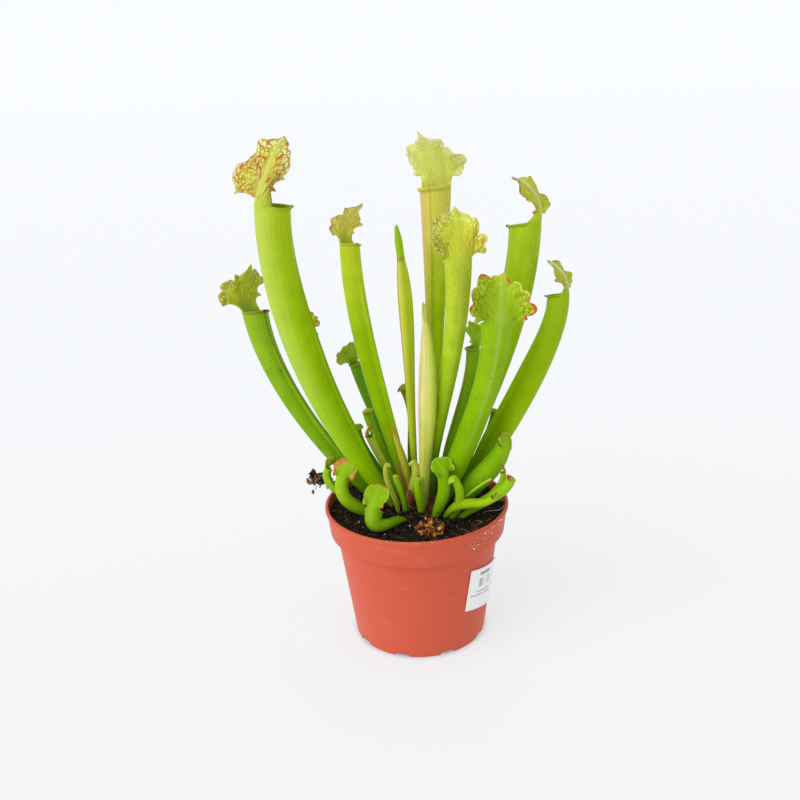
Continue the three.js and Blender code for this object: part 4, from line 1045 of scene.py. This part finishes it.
# The colours are body, left strip, right strip, seam, tip and the ring at the pinch.
spear("spear_tall", ["spear_green"], PALE,
      ("dedc6c", "e8c89a", "c4d22c", "a07c36", "a0cc14", "7e6028"),
      [(1, 10, FOOT), (-3, 6, 130), (1, 8, 193), (-6, 9, 249)],
      [(0, 1.8), (0.2, 2.0), (0.35, 2.4), (0.49, 3.0), (0.57, 3.6), (0.66, 4.2), (0.75, 4.4),
       (0.81, 3.9), (0.86, 2.9), (0.88, 2.0), (0.895, 1.9), (0.92, 2.3), (0.955, 2.1),
       (0.985, 1.1), (1, 0.3)], 0.6, 215, (1.0, 0.65), seed=1.0)
spear("spear_cream", ["spear_pale"], PALE,
      ("e2e08c", "e4b48c", "c8d254", "cebe78", "c4ce64", "b4a05a"),
      [(4, -1, FOOT), (5, -10, 119), (11, -14, 168), (7, -14, 210)],
      [(0, 2.2), (0.2, 3.2), (0.375, 4.2), (0.48, 5.0), (0.58, 5.3), (0.7, 4.7), (0.8, 3.6),
       (0.87, 2.5), (0.915, 1.5), (0.93, 1.3), (0.95, 1.7), (0.975, 1.4), (1, 0.3)],
      0.7, 250, (0.6, 1.0), seed=2.0, pinch=0.925)
spear("spear_dry", ["spear_withered"], "withered_leaf",
      ("dec450", "de965a", "b0b42c", "aa6032", "d68246", "be783c"),
      [(-3, 0, FOOT), (-2, 0, 98), (-9, 2, 116), (-13, 4, 131)],
      [(0, 1.6), (0.3, 2.4), (0.6, 2.5), (0.85, 1.6), (1, 0.3)], 0.3, 220, (0.8, 1.0), seed=3.0)
spear("spear_sliver", [], PALE,
      ("b0ce32", "bece50", "96be1e", "aabe3c", "e8be82", "debe78"),
      [(18, -19, 84), (29, -22, 97), (36, -23, 103), (43, -24.5, 107.5)],
      [(0, 0.4), (0.4, 0.7), (0.8, 0.75), (0.95, 0.6), (1, 0.2)], 0.2, 220, (0.8, 1.0), seed=4.0)
print("spears built")

# %% [markdown]
# ## The pot
# The pot is moulded plastic with a plain wall, a wider band under the rim and a foot ring. A
# lathe turns one profile round the axis. Real moulded corners are never sharp, so each corner
# of the profile becomes a short curve, and long stretches get a few rows between.

# %% The pot's profile
POT_TOP, BAND_FOOT, POT_FOOT, POT_BODY, POT_WALL = 84.0, 67.0, 39.8, 48.6, 1.3


def pot_radius(z):
    return POT_FOOT + (POT_BODY - POT_FOOT) * z / BAND_FOOT


POT_PROFILE = [
    (0.01, 0), (9, 0), (9.6, 3), (pot_radius(3) - POT_WALL, 3), (POT_FOOT - POT_WALL, 0),
    (POT_FOOT - 0.4, 0), (pot_radius(0.8), 0.8), (POT_BODY, BAND_FOOT - 0.6),
    (51.7, BAND_FOOT - 0.2), (52.5, BAND_FOOT + 0.8), (54, POT_TOP - 3.2), (55, POT_TOP - 2),
    (55, POT_TOP - 0.7), (54.3, POT_TOP), (53.2, POT_TOP), (52.9, POT_TOP - 0.6),
    (51.2, BAND_FOOT + 2.4), (pot_radius(BAND_FOOT) - POT_WALL, BAND_FOOT + 0.4),
    (pot_radius(4.6) - POT_WALL, 4.6), (0.01, 4.6),
]
ROW_STEP = 4.0


def in_steps(profile):
    """The profile with more points on its long stretches, except along the ground."""
    rows = []
    for here, after in zip(profile, profile[1:]):
        off_ground = min(here[1], after[1]) > 0.5
        count = max(1, round(math.dist(here, after) / ROW_STEP)) if off_ground else 1
        way = np.array(after) - here
        rows += [tuple(np.array(here) + way * n / count) for n in range(count)]
    return rows + [profile[-1]]


def rounded(profile, steps=3, share=0.35, most=0.8):
    """The profile with each corner turned into a short curve."""
    corners = np.array(profile, float)
    out = [corners[0]]
    for before, here, after in zip(corners, corners[1:], corners[2:]):
        back, on = before - here, after - here
        near = min(most, share * min(np.linalg.norm(back), np.linalg.norm(on)))
        start, end = here + unit(back) * near, here + unit(on) * near
        for t in np.linspace(0, 1, steps + 1):
            out.append((1 - t) ** 2 * start + 2 * (1 - t) * t * here + t * t * end)
    return out + [corners[-1]]


print("the profile has", len(rounded(in_steps(POT_PROFILE))), "points")

# %% [markdown]
# The plastic is a terracotta colour that hardly varies. What makes it look used is its wear:
# dust under the rim, faint scuffs drawn out round the wall, and a few dark marks. Noise in the
# object's own space gives them all, so nothing has to be unwrapped.

# %% The pot's plastic
def plastic():
    finish = Finish("terracotta_plastic", Specular_IOR_Level=0.2)
    cloud, grain = noise_at(finish.place, 22.0, 4.0), noise_at(finish.place, 900.0)
    colour = mix(cloud, "ce5439", "d75e42")
    dust = step(noise_at(finish.place, 160.0, 4.0), 0.56, 0.74) * step(finish.axis(2), 0.062, 0.09)
    colour = mix(dust * 0.35, colour, "c4967c")
    drawn_out = finish.place.node("ShaderNodeMapping", {"vector_type": "POINT"},
                                  {"Vector": finish.place, "Scale": (60.0, 60.0, 900.0)})
    scuff = step(noise_at(drawn_out, 1.0, 3.0), 0.66, 0.72) * 0.12
    colour = mix(scuff, colour, "ecbeaa")
    few = step(noise_at(finish.place, 35.0, 1.0), 0.6, 0.64)
    marks = step(dots_at(finish.place, 90.0), 0.08, 0.05) * few
    colour = mix(marks * 0.6, colour, "963222")
    return finish.done(colour, 0.34 + cloud * 0.2 + dust * 0.2, grain * 0.6 + scuff, 0.05 * MM)


print("plastic ready")

# %% [markdown]
# The floor has six drain holes and the foot ring nine low notches. Both are cut from the fine
# mesh with simple prisms, all in one cut, which is then made part of the mesh.

# %% The pot with its holes and notches
POT_SIDES = 192
HOLES, HOLE_AT, HOLE_RADIUS = 6, 27.0, 3.2
CUT_FROM, CUT_TO = -1.0, 7.0
NOTCHES, FIRST_NOTCH, NOTCH_FROM, NOTCH_TO = 9, -108, 35.3, 43.3
# Half of a notch's width at each height, round its outline.
NOTCH = [(4.4, -1.0), (4.4, 1.4), (3.4, 2.3), (-3.4, 2.3), (-4.4, 1.4), (-4.4, -1.0)]


def prism(skin, start, end):
    """A closed solid between two outlines."""
    ends = [skin.grid(start), skin.grid(end)]
    skin.sheet(ends, closed=True)
    skin.cap(start.mean(axis=0), ends[0])
    skin.cap(end.mean(axis=0), ends[1])


def cut_with(piece, cutter):
    """Takes the cutter's shape out of the piece for good."""
    cut = piece.modifiers.new("holes", "BOOLEAN")
    cut.operation, cut.solver, cut.object = "DIFFERENCE", "EXACT", cutter
    shape = bpy.data.meshes.new_from_object(
        piece.evaluated_get(bpy.context.evaluated_depsgraph_get()))
    piece.modifiers.clear()
    piece.data = shape
    bpy.data.objects.remove(cutter)


pot_skin, cutter_skin = Skin(), Skin()
pot_skin.sheet([pot_skin.grid(around(radius, turns(POT_SIDES), z))
                for radius, z in rounded(in_steps(POT_PROFILE))], closed=True)
pot = pot_skin.build("pot_shell", plastic())
for turn in turns(HOLES) + math.pi / HOLES:
    x, y = HOLE_AT * math.cos(turn), HOLE_AT * math.sin(turn)
    prism(cutter_skin, *(around(HOLE_RADIUS, turns(32), z, x, y) for z in (CUT_FROM, CUT_TO)))
for turn in turns(NOTCHES) + math.radians(FIRST_NOTCH):
    out, wide = around(1, turn, 0), around(1, turn + math.pi / 2, 0)
    outline = np.array([wide * half + (0, 0, z) for half, z in NOTCH])
    prism(cutter_skin, outline + out * NOTCH_FROM, outline + out * NOTCH_TO)
cut_with(pot, cutter_skin.build("pot_cutter", pot.data.materials[0]))
place_piece(pot, "terracotta_plastic", "pot")

# %% [markdown]
# ## Peat
# Potting peat is dark, rough and lumpy. Its surface is a heightfield of noise over a plain body
# that fills the pot. A square grid would do for the noise, but rings of points meet the round
# wall without a ragged edge.

# %% The soil
SOIL_EDGE, SOIL_RISE, RIM_INNER = 79.0, 2.0, 53.2
SOIL_SIDES, SOIL_RINGS = 300, 66
LUMP_SCALE, LUMP_LOW, LUMP_HIGH = 0.24, -1.2, 1.4


def soil_level(x, y):
    share = np.minimum(1, np.hypot(x, y) / RIM_INNER)
    return SOIL_EDGE + SOIL_RISE * (1 - share * share)


def peat_finish():
    finish = Finish("peat", Specular_IOR_Level=0.25)
    grain, clump = noise_at(finish.place, 700.0, 4.0), noise_at(finish.place, 160.0, 3.0)
    light = step(grain * 0.7 + clump * 0.3, 0.5, 0.75)
    colour = mix(light, "120d09", "38261a")
    return finish.done(colour, 0.75 + grain * 0.2, grain, 0.5 * MM)


soil_skin = Skin()
radii = np.concatenate([[0.6], np.linspace(1.6, 51.9, SOIL_RINGS)])
rr, tt = np.meshgrid(radii, turns(SOIL_SIDES), indexing="ij")
level = soil_level(rr, 0)
lumps = np.array([noise.fractal(Vector((x * LUMP_SCALE, y * LUMP_SCALE, 3.1)), 0.9, 2.1, 4)
                  for x, y, z in around(rr, tt, level).reshape(-1, 3)]).reshape(rr.shape)
top = level + np.clip(lumps, LUMP_LOW, LUMP_HIGH) * 0.9 - 0.25
surface = soil_skin.grid(around(rr, tt, top))
soil_skin.sheet(surface, closed=True)
soil_skin.cap((0.0, 0.0, top[0].mean()), surface[0])
skirt = [(50.3, 69.5), (47.0, 67.2), (pot_radius(5.0) - 1.8, 5.0), (1.0, 5.0)]
soil_skin.sheet([surface[-1]] + [soil_skin.grid(around(radius, turns(SOIL_SIDES), z))
                                 for radius, z in skirt], closed=True)
place_piece(soil_skin.build("peat_body", peat_finish()), "peat", "soil")

# %% [markdown]
# Crumbs, fibres and pale specks are scattered over the peat. A crumb is a small rough ball,
# squashed and turned at random. One seeded generator makes every choice, so the scatter falls
# the same each time. The ball's points and faces are taken from Blender once, and reused.

# %% A crumb
dice = np.random.default_rng(7)
ball = bmesh.new()
bmesh.ops.create_icosphere(ball, subdivisions=2, radius=1.0)
ball_points = np.array([v.co[:] for v in ball.verts])
ball_faces = np.array([[v.index for v in f.verts] for f in ball.faces])
ball.free()


def rotation():
    w, x, y, z = unit(dice.normal(size=4))
    return np.array([[1 - 2 * (y * y + z * z), 2 * (x * y - z * w), 2 * (x * z + y * w)],
                     [2 * (x * y + z * w), 1 - 2 * (x * x + z * z), 2 * (y * z - x * w)],
                     [2 * (x * z - y * w), 2 * (y * z + x * w), 1 - 2 * (x * x + y * y)]])


def add_crumb(skin, centre, size, flat=0.6, rough=0.35, long=1.0):
    bumps = 1 + rough * (dice.random(len(ball_points)) - 0.5)
    shape = ball_points * bumps[:, None] * np.array([long, 0.6 + 0.5 * dice.random(), flat])
    points = shape @ rotation().T * size + centre
    numbers = skin.grid(points, pick=dice.random())
    skin.quads.append(np.concatenate([numbers[ball_faces], numbers[ball_faces[:, :1]]], axis=1))


print("a crumb starts from", len(ball_points), "points")

# %% [markdown]
# A fibre is a thin tube along a path that drifts from its heading. Crumbs and fibres alike take
# their colours from a short list: each bit carries a random number, and a colour ramp with
# hard steps turns it into one of the colours.

# %% A thread, and colours for a scatter
def add_thread(skin, points, radius, sides=5):
    """A thin tube through the points, tapering to both ends."""
    points = np.asarray(points, float)
    way = unit(np.gradient(points, axis=0))
    lift = np.where(np.abs(way[:, 2:]) < 0.9, [[0, 0, 1.0]], [[1.0, 0, 0]])
    wide = unit(np.cross(way, lift))
    high = np.cross(way, wide)
    share = np.linspace(0, 1, len(points))
    girth = radius * (0.35 + 0.65 * np.sin(np.pi * (0.08 + 0.84 * share)))
    turn = turns(sides)
    out = push(wide[:, None], np.cos(turn)[None]) + push(high[:, None], np.sin(turn)[None])
    numbers = skin.grid(points[:, None] + out * girth[:, None, None], pick=dice.random())
    skin.sheet(numbers, closed=True)
    for end in (0, -1):
        skin.cap(points[end], numbers[end], pick=dice.random())


def wander(start, heading, length, steps=12, curl=0.5, rise=0.0):
    """A path that drifts from its heading, for fibres and threads."""
    points, angle, here = [], heading, np.array(start, float)
    for _ in range(steps):
        points.append(here.copy())
        angle += dice.normal() * curl
        here = here + np.array([math.cos(angle), math.sin(angle), rise]) * length / steps
    return points


def mixed_finish(name, colours, rough=0.85):
    """A scatter's material: each bit takes a colour of its own from a short list."""
    finish = Finish(name, Specular_IOR_Level=0.25)
    stops = [(n / len(colours), c) for n, c in enumerate(colours)]
    ramp = finish.place.node("ShaderNodeValToRGB", {"stops": stops}, {0: finish.read("pick")})
    grain = noise_at(finish.place, 900.0, 3.0)
    return finish.done(tint(ramp, 0.65 + grain * 0.7), rough, grain, 0.2 * MM)


print("threads and mixed colours ready")

# %% [markdown]
# Most crumbs are small and only a few large, so a random share is raised to a power. The root
# of a share spreads them evenly over the round surface. Some fibres gather by the right of the
# rim, where they stick up a little more.

# %% Scatter on the peat
CRUMBS, FIBRES = 1500, 360


def anywhere(reach):
    """A random spot on the peat, as its distance from the axis and its direction."""
    return reach * math.sqrt(dice.random()), 2 * math.pi * dice.random()


crumb_skin = Skin()
for _ in range(CRUMBS):
    far, angle = anywhere(51.5)
    size = 0.35 + 0.9 * dice.random() ** 2.4
    add_crumb(crumb_skin, around(far, angle, soil_level(far, 0) + 0.1 + 0.3 * size), size)
place_piece(crumb_skin.build("peat_crumbs", mixed_finish("crumb_mix", [
    "140e0a", "1e150e", "18110c", "2c1e14", "100b08", "3e2a1a", "1a120c",
    "5c4028"]), smooth=False),
            "peat")

fibre_skin = Skin()
for number in range(FIBRES):
    by_rim = number % 4 == 0
    if by_rim:
        far, angle = 46 + 6.5 * dice.random(), math.radians(-62 + 60 * dice.random())
    else:
        far, angle = anywhere(51.0)
    start = around(far, angle, 0)
    path = np.array(wander(start, 6.3 * dice.random(), 2 + 8 * dice.random(), curl=0.15))
    path = path[np.hypot(path[:, 0], path[:, 1]) < 52.0]
    if len(path) < 5:
        continue
    hump = np.sin(np.linspace(0, np.pi, len(path))) * (0.2 + 0.9 * dice.random())
    lift = 0.6 + 2.2 * dice.random() if by_rim else 0.4
    path[:, 2] = soil_level(path[:, 0], path[:, 1]) + lift + hump
    add_thread(fibre_skin, path, 0.08 + 0.12 * dice.random())
place_piece(fibre_skin.build("peat_fibres", mixed_finish("fibre_mix", [
    "543822", "362416", "68482c", "281b12", "5a3a22", "886a46"])), "peat")

# %% [markdown]
# ## Crown and litter
# A knobbly rhizome shows between the leaf feet. It could be sculpted, but so little of it is
# seen that a low profile is turned on the lathe, and each point then moved by noise.

# %% The crown
CROWN_AT, CROWN_WIDE, CROWN_SIDES = 4.0, 14.0, 96
CROWN_PROFILE = [(0.05, 68.2), (9.8, 68.2), (CROWN_WIDE, 76), (11.9, 81.6), (7, 84), (0.05, 84)]


def bark():
    finish = Finish("rhizome", Specular_IOR_Level=0.3)
    rough, blotch = noise_at(finish.place, 300.0, 4.0), noise_at(finish.place, 90.0)
    colour = mix(step(rough, 0.35, 0.7), "3a1c14", "7a422c")
    colour = mix(step(blotch, 0.5, 0.7) * 0.7, colour, "8c2c28")
    return finish.done(colour, 0.5 + rough * 0.3, rough, 0.5 * MM)


crown_skin, crown_rings = Skin(), []
for radius, z in rounded(CROWN_PROFILE):
    plain = around(radius, turns(CROWN_SIDES), z) * (0.35, 0.35, 0.4)
    bump = 0.9 * np.array([noise.noise(Vector(point)) for point in plain])
    swell = 1 + bump / CROWN_WIDE
    crown_rings.append(crown_skin.grid(
        around(radius * swell, turns(CROWN_SIDES), z + 0.5 * bump, CROWN_AT, CROWN_AT)))
crown_skin.sheet(crown_rings, closed=True)
place_piece(crown_skin.build("rhizome_core", bark()), "rhizome", "crown")

# %% [markdown]
# Papery brown scales stand round the feet of the leaves. Each is a small pointed sheet that
# leans outwards, with a second face just behind the first. A thin red stem with a bud stands
# in front of them.

# %% Scales and red stems
SCALES = 46
scale_skin, stem_skin = Skin(), Skin()
s, w = np.meshgrid(np.linspace(0, 1, 9), np.linspace(-1, 1, 7), indexing="ij")
for number in range(SCALES):
    angle, far = 2 * math.pi * dice.random(), 6 + 15 * dice.random()
    out, side = around(1, angle, 0), around(1, angle + math.pi / 2, 0)
    high, wide = 3 + 6 * dice.random(), 1.2 + 1.8 * dice.random()
    lean = 0.15 + 0.8 * dice.random()
    half = wide * (1 - s**2.2) * (0.9 + 0.1 * np.sin(7 * s + number))
    foot = out * far + (4, 2, 0)
    foot[2] = soil_level(foot[0], foot[1]) - 0.6
    front = (foot + push(side, w * half) + push(out, lean * high * s**1.6 - 0.3 * w**2 * half)
             + push(np.array([0, 0, 1.0]), high * s * (1 - 0.35 * s * lean)))
    scale_skin.slab(front, front - out * 0.15, pick=dice.random())
place_piece(scale_skin.build("crown_scales", mixed_finish("scale_mix", [
    "70462a", "4a2c1e", "96683e", "3c241a", "843c2c", "604228"], 0.6)), "rhizome")

add_thread(stem_skin, [(-5, -5, 86), (-5.6, -6, 94), (-6.6, -7, 100), (-8.6, -7, 105),
                       (-10.8, -7, 111)], 0.65, 10)
add_thread(stem_skin, [(-3.4, -7, 84), (-3.4, -8, 88), (-3.9, -8.4, 92), (-4.4, -8.6, 95)],
           1.4, 12)
place_piece(stem_skin.build("red_stems", mixed_finish("red_mix", [
    "883e34", "a03c42"], 0.5)), "rhizome")

# %% [markdown]
# A lump of orange-brown flakes lies in front of the crown. Flat crumbs in three shells, few
# inside and many outside, give it a loose surface without a smooth body under it.

# %% The lump of flakes
LUMP_AT, LUMP_SIZE = np.array([7.0, -33.0, 81.5]), np.array([9.0, 7.5, 6.0])
LAYERS = [(0.5, 60), (0.74, 150), (0.93, 300)]  # share of the size, and how many flakes
flake_skin = Skin()
for layer, count in LAYERS:
    for _ in range(count):
        way = unit(dice.normal(size=3))
        if way[2] < -0.55:
            continue
        size = 0.6 + 0.55 * dice.random() ** 1.6
        add_crumb(flake_skin, LUMP_AT + way * (LUMP_SIZE - 1.0) * layer, size, 0.4, 0.5,
                  1.5 + 1.3 * dice.random())
place_piece(flake_skin.build("flake_lump", mixed_finish("flake_mix", [
    "ce8840", "784620", "e8b068", "462a16", "2c1c12", "c47836", "a6642e", "281a10", "d8964e",
    "3a2414"]), smooth=False),
            "crumbs", "crumb_lump")

# %% [markdown]
# A withered leaf lies over the rim on the left, nearly black with straw-coloured patches. It
# is three waved ribbons that turn as they go, with crumbs where it has fallen apart. A cloth
# simulation could crumple a sheet, but twisted ribbons are quick and fall the same each time.

# %% The withered leaf on the rim
def ribbon(skin, path, width, thick, twists, ruffle):
    """A waved strip with two faces along a path."""
    path = np.array(path, float)
    t = np.linspace(0, 1, 40)
    places = np.linspace(0, 1, len(path))
    smooth = np.stack([np.interp(t, places, path[:, k]) for k in range(3)], -1)
    for _ in range(6):
        smooth[1:-1] = (smooth[:-2] + smooth[1:-1] * 2 + smooth[2:]) / 4
    way = unit(np.gradient(smooth, axis=0))
    flat = unit(np.cross([0, 0, 1.0], way))
    high = np.cross(way, flat)
    roll = twists * 2 * np.pi * t
    wide = push(flat, np.cos(roll)) + push(high, np.sin(roll))
    deep = np.cross(way, wide)[:, None]
    half = width * (0.3 + 0.7 * np.sin(np.pi * (0.06 + 0.86 * t))) / 2
    t, w = np.meshgrid(t, np.linspace(-1, 1, 17), indexing="ij")
    curl = (0.35 * half[:, None] + ruffle * np.sin(9 * t + 5 * w)) * w**2
    middle = smooth[:, None] + push(wide[:, None], half[:, None] * w) + push(deep, curl)
    skin.slab(middle + deep * thick / 2, middle - deep * thick / 2, east=w)


def dead_leaf():
    finish = Finish("dead_leaf", Specular_IOR_Level=0.35)
    patches = noise_at(finish.place, 190.0, 4.0)
    colour = mix(step(patches, 0.45, 0.56), "1c1511", "ba9660")
    vein = step(abs(finish.read("east")), 0.12, 0.03)
    colour = mix(vein * 0.6, colour, "5c4228")
    return finish.done(colour, 0.55 + patches * 0.3, patches, 0.4 * MM)


litter_skin = Skin()
for path, width, twists, ruffle in (
        ([(-49, 23, 86), (-56, 27, 88), (-61, 29, 90.5), (-65, 29, 93)], 8, 0.8, 1.3),
        ([(-49, 20, 86), (-56, 26, 86), (-61, 29, 85.5), (-64, 28, 84)], 7, -1.1, 1.1),
        ([(-55, 25, 89), (-60, 28, 88), (-62.5, 30, 87.5), (-65.5, 28, 89)], 6, 1.4, 1.0)):
    ribbon(litter_skin, path, width, 0.5, twists, ruffle)
for _ in range(40):
    share = dice.random()
    centre = np.array([-51 - 14 * share, 24 + 5 * share, 87 + 1.5 * share])
    add_crumb(litter_skin, centre + dice.normal(size=3) * (0.6 + 1.4 * share), 0.4 + dice.random(),
              0.4, 0.6, 1.6)
add_thread(litter_skin, [(-61, 26, 85), (-62, 26, 83), (-63.5, 26.5, 81), (-65, 27, 79.5)], 0.2)
add_crumb(litter_skin, np.array([-64.5, 27, 79.5]), 1.0, 0.6, 0.5, 1.5)
place_piece(litter_skin.build("withered_bits", dead_leaf()), "dead_leaf", "rim_litter")

# %% [markdown]
# Last come the finest bits: five pale threads that stick out of the peat, and tiny pale specks.
# A third of the specks lies on the peat, a third along the rim, thicker towards the right of
# the front, and a third clings to the scuffed band below it.

# %% Threads and specks
SPECKS = 170
thread_skin, speck_skin = Skin(), Skin()
for start, heading, length, rise in (
        ((38, -22, 84.5), 0.3, 16, 0.25), ((33, -30, 83.6), -0.2, 13, 0.1),
        ((40, -15, 85.0), 0.9, 12, 0.5), ((-47, 12, 82.5), 2.6, 15, 0.45),
        ((44, -6, 84.0), 0.1, 11, 0.3)):
    add_thread(thread_skin, wander(start, heading, length, 16, 0.28, rise), 0.11)
place_piece(thread_skin.build("stray_threads", mixed_finish("thread_mix", [
    "c4b8a0", "968264", "d6cebe"], 0.6)), "dead_leaf")

for number in range(SPECKS):
    if number % 3 == 0:
        far, angle = 12 + 38 * math.sqrt(dice.random()), 2 * math.pi * dice.random()
        z, size = soil_level(far, 0) + 0.7, 0.14 + 0.22 * dice.random() ** 2
    elif number % 3 == 1:
        angle = math.radians(-75 + 55 * dice.normal())
        far, z = 53.3 + 1.3 * dice.random(), POT_TOP + 0.05
        size = 0.1 + 0.24 * dice.random() ** 3
    else:
        share = dice.random()
        angle = math.radians(-35 - 18 * share + 3.5 * dice.normal())
        z = min(max(83.5 - 9.5 * share + 1.4 * dice.normal(), 70.0), 83.6)
        far = 52.6 + 1.5 * (z - 67.8) / 13 + (1.0 if z > 81.5 else 0.0)
        size = 0.12 + 0.5 * dice.random() ** 2
    add_crumb(speck_skin, around(far, angle, z), size, 0.35, 0.6, 1.0 + dice.random())
place_piece(speck_skin.build("pale_specks", mixed_finish("speck_mix", [
    "e2d6be", "b09674", "ece6d8"], 0.7), smooth=False),
            "peat")

# %% [markdown]
# ## The price label
# A small sheet of paper follows the pot's wall, and one of its corners lifts a little. The
# wall's radius is known at every height, so each point is put straight on it. Plain grey bars
# are made in the material from the label's own width and height, as numbers from 0 to 1.

# %% The label
def label_paper():
    finish = Finish("label_paper", Specular_IOR_Level=0.4)
    wide, high = finish.read("wide"), finish.read("high")

    def bar(left, right, low, top):
        across = step(wide, left, left + 0.006) * step(wide, right + 0.006, right)
        return across * step(high, low, low + 0.01) * step(high, top + 0.01, top)

    plain = bar(0.26, 0.62, 0.82, 0.9) + bar(0.22, 0.7, 0.41, 0.44) + bar(0.06, 0.74, 0.33, 0.36)
    stripes = step(noise_at(vector(wide * 40.0, 0.0, 0.0), 1.0, 0.0), 0.46, 0.52)
    striped = (bar(0.24, 0.44, 0.54, 0.74) + bar(0.52, 0.66, 0.56, 0.76)) * stripes
    paper = noise_at(finish.place, 500.0, 3.0)
    colour = mix(paper, "fafaf9", "fdfdfd")
    return finish.done(mix((plain + striped) * 0.7, colour, "6e6e70"), 0.5)


# Where the label starts and how far round it goes, in degrees, then its foot and its height.
LABEL_FROM, LABEL_TURN, LABEL_SLANT = -54, 42, 3
LABEL_FOOT, LABEL_DROP, LABEL_HIGH, LABEL_GROWS = 27.8, 8, 27.4, 1.8
OFF_WALL, PAPER_THICK = 0.35, 0.5

label_skin = Skin()
across, rise = np.meshgrid(np.linspace(0, 1, 49), np.linspace(0, 1, 33), indexing="ij")
turn = np.radians(LABEL_FROM + LABEL_TURN * across + LABEL_SLANT * rise * (1 - across))
z = LABEL_FOOT - LABEL_DROP * across + (LABEL_HIGH + LABEL_GROWS * across) * rise
lift = 0.35 * smooth_step(0.86, 1.0, across) * smooth_step(0.75, 1.0, rise)
radius = pot_radius(z) + OFF_WALL + lift
label_skin.slab(around(radius, turn, z), around(radius + PAPER_THICK, turn, z),
                wide=across, high=rise)
place_piece(label_skin.build("paper_label", label_paper()), "label", "price_label")

# %% [markdown]
# ## Studio
# The pot stands on a pale floor that runs up into a pale backdrop. The floor gives a little
# light of its own, which fades out under the pot, so that the foot stands in a painted shadow.

# %% The floor
BACK, BEND, HALF_WIDTH = 4000.0, 1500.0, 9000.0
floor_finish = Finish("pale_floor", Base_Color="808182", Roughness=1.0,
                      Specular_IOR_Level=0.0, Emission_Strength=0.76)
# Painted shade: the glow is a little dimmer towards the front.
glow = mix(step(floor_finish.axis(1), -0.5, 0.6), "f6f6f6", "fafcff")
from_axis = floor_finish.place.node("ShaderNodeVectorMath", {"operation": "LENGTH"},
                                    {0: floor_finish.place}, 1)
# Painted shadow: the glow fades out under the pot and a little round its foot.
shade = 0.12 + step(from_axis, 0.034, 0.0435) * 0.85 + step(from_axis, 0.04, 0.075) * 0.03
floor_finish.feed("Emission Color", tint(glow, shade))
sweep = [(-BACK, 0.0), (BACK, 0.0)]
sweep += [(BACK + BEND * math.sin(a), BEND - BEND * math.cos(a))
          for a in np.linspace(0.05, math.pi / 2, 20)]
sweep.append((BACK + BEND, BACK))
floor_skin = Skin()
floor_skin.sheet([floor_skin.grid([(x, y, z) for y, z in sweep])
                  for x in (-HALF_WIDTH, HALF_WIDTH)])
backdrop = floor_skin.build("studio_floor", floor_finish.material)
print("floor rows:", len(sweep))

# %% [markdown]
# The light is nearly even: a white sky, and one large soft lamp at the upper left. The camera
# looks slightly down from the front, and leans a little to one side.

# %% Light and camera
SKY, SKY_STRENGTH = (0.985, 0.992, 1.0, 1.0), 0.6
LAMP_WAY, LAMP_STRENGTH, LAMP_SOFTNESS = (0.8, 0.6, -0.75), 1.65, 60
CAMERA_LEAN, LENS, SENSOR = -2.2, 45.0, 36.0
EYE, TARGET = Vector((-0.0076, -0.5457, 0.3449)), Vector((-0.0076, 0.0, 0.1484))

world = bpy.data.worlds.new("studio")
bpy.context.scene.world = world
world.use_nodes = True
sky = world.node_tree.nodes["Background"].inputs
sky["Color"].default_value, sky["Strength"].default_value = SKY, SKY_STRENGTH

light = bpy.data.lights.new("key", "SUN")
light.energy, light.angle = LAMP_STRENGTH, math.radians(LAMP_SOFTNESS)
lamp = bpy.data.objects.new("key", light)
lamp.rotation_euler = Vector(LAMP_WAY).to_track_quat("-Z", "Y").to_euler()
bpy.context.scene.collection.objects.link(lamp)

camera = bpy.data.objects.new("camera", bpy.data.cameras.new("camera"))
camera.data.lens, camera.data.sensor_width = LENS, SENSOR
camera.data.clip_start, camera.data.clip_end = 0.01, 20.0
aim = (TARGET - EYE).to_track_quat("-Z", "Y").to_matrix()
lean = Matrix.Rotation(math.radians(CAMERA_LEAN), 3, "Z")
camera.matrix_world = Matrix.Translation(EYE) @ (aim @ lean).to_4x4()
bpy.context.scene.collection.objects.link(camera)
bpy.context.scene.camera = camera
bpy.context.scene.view_settings.view_transform = "Standard"
print("camera is", round((TARGET - EYE).length, 3), "m from its target")
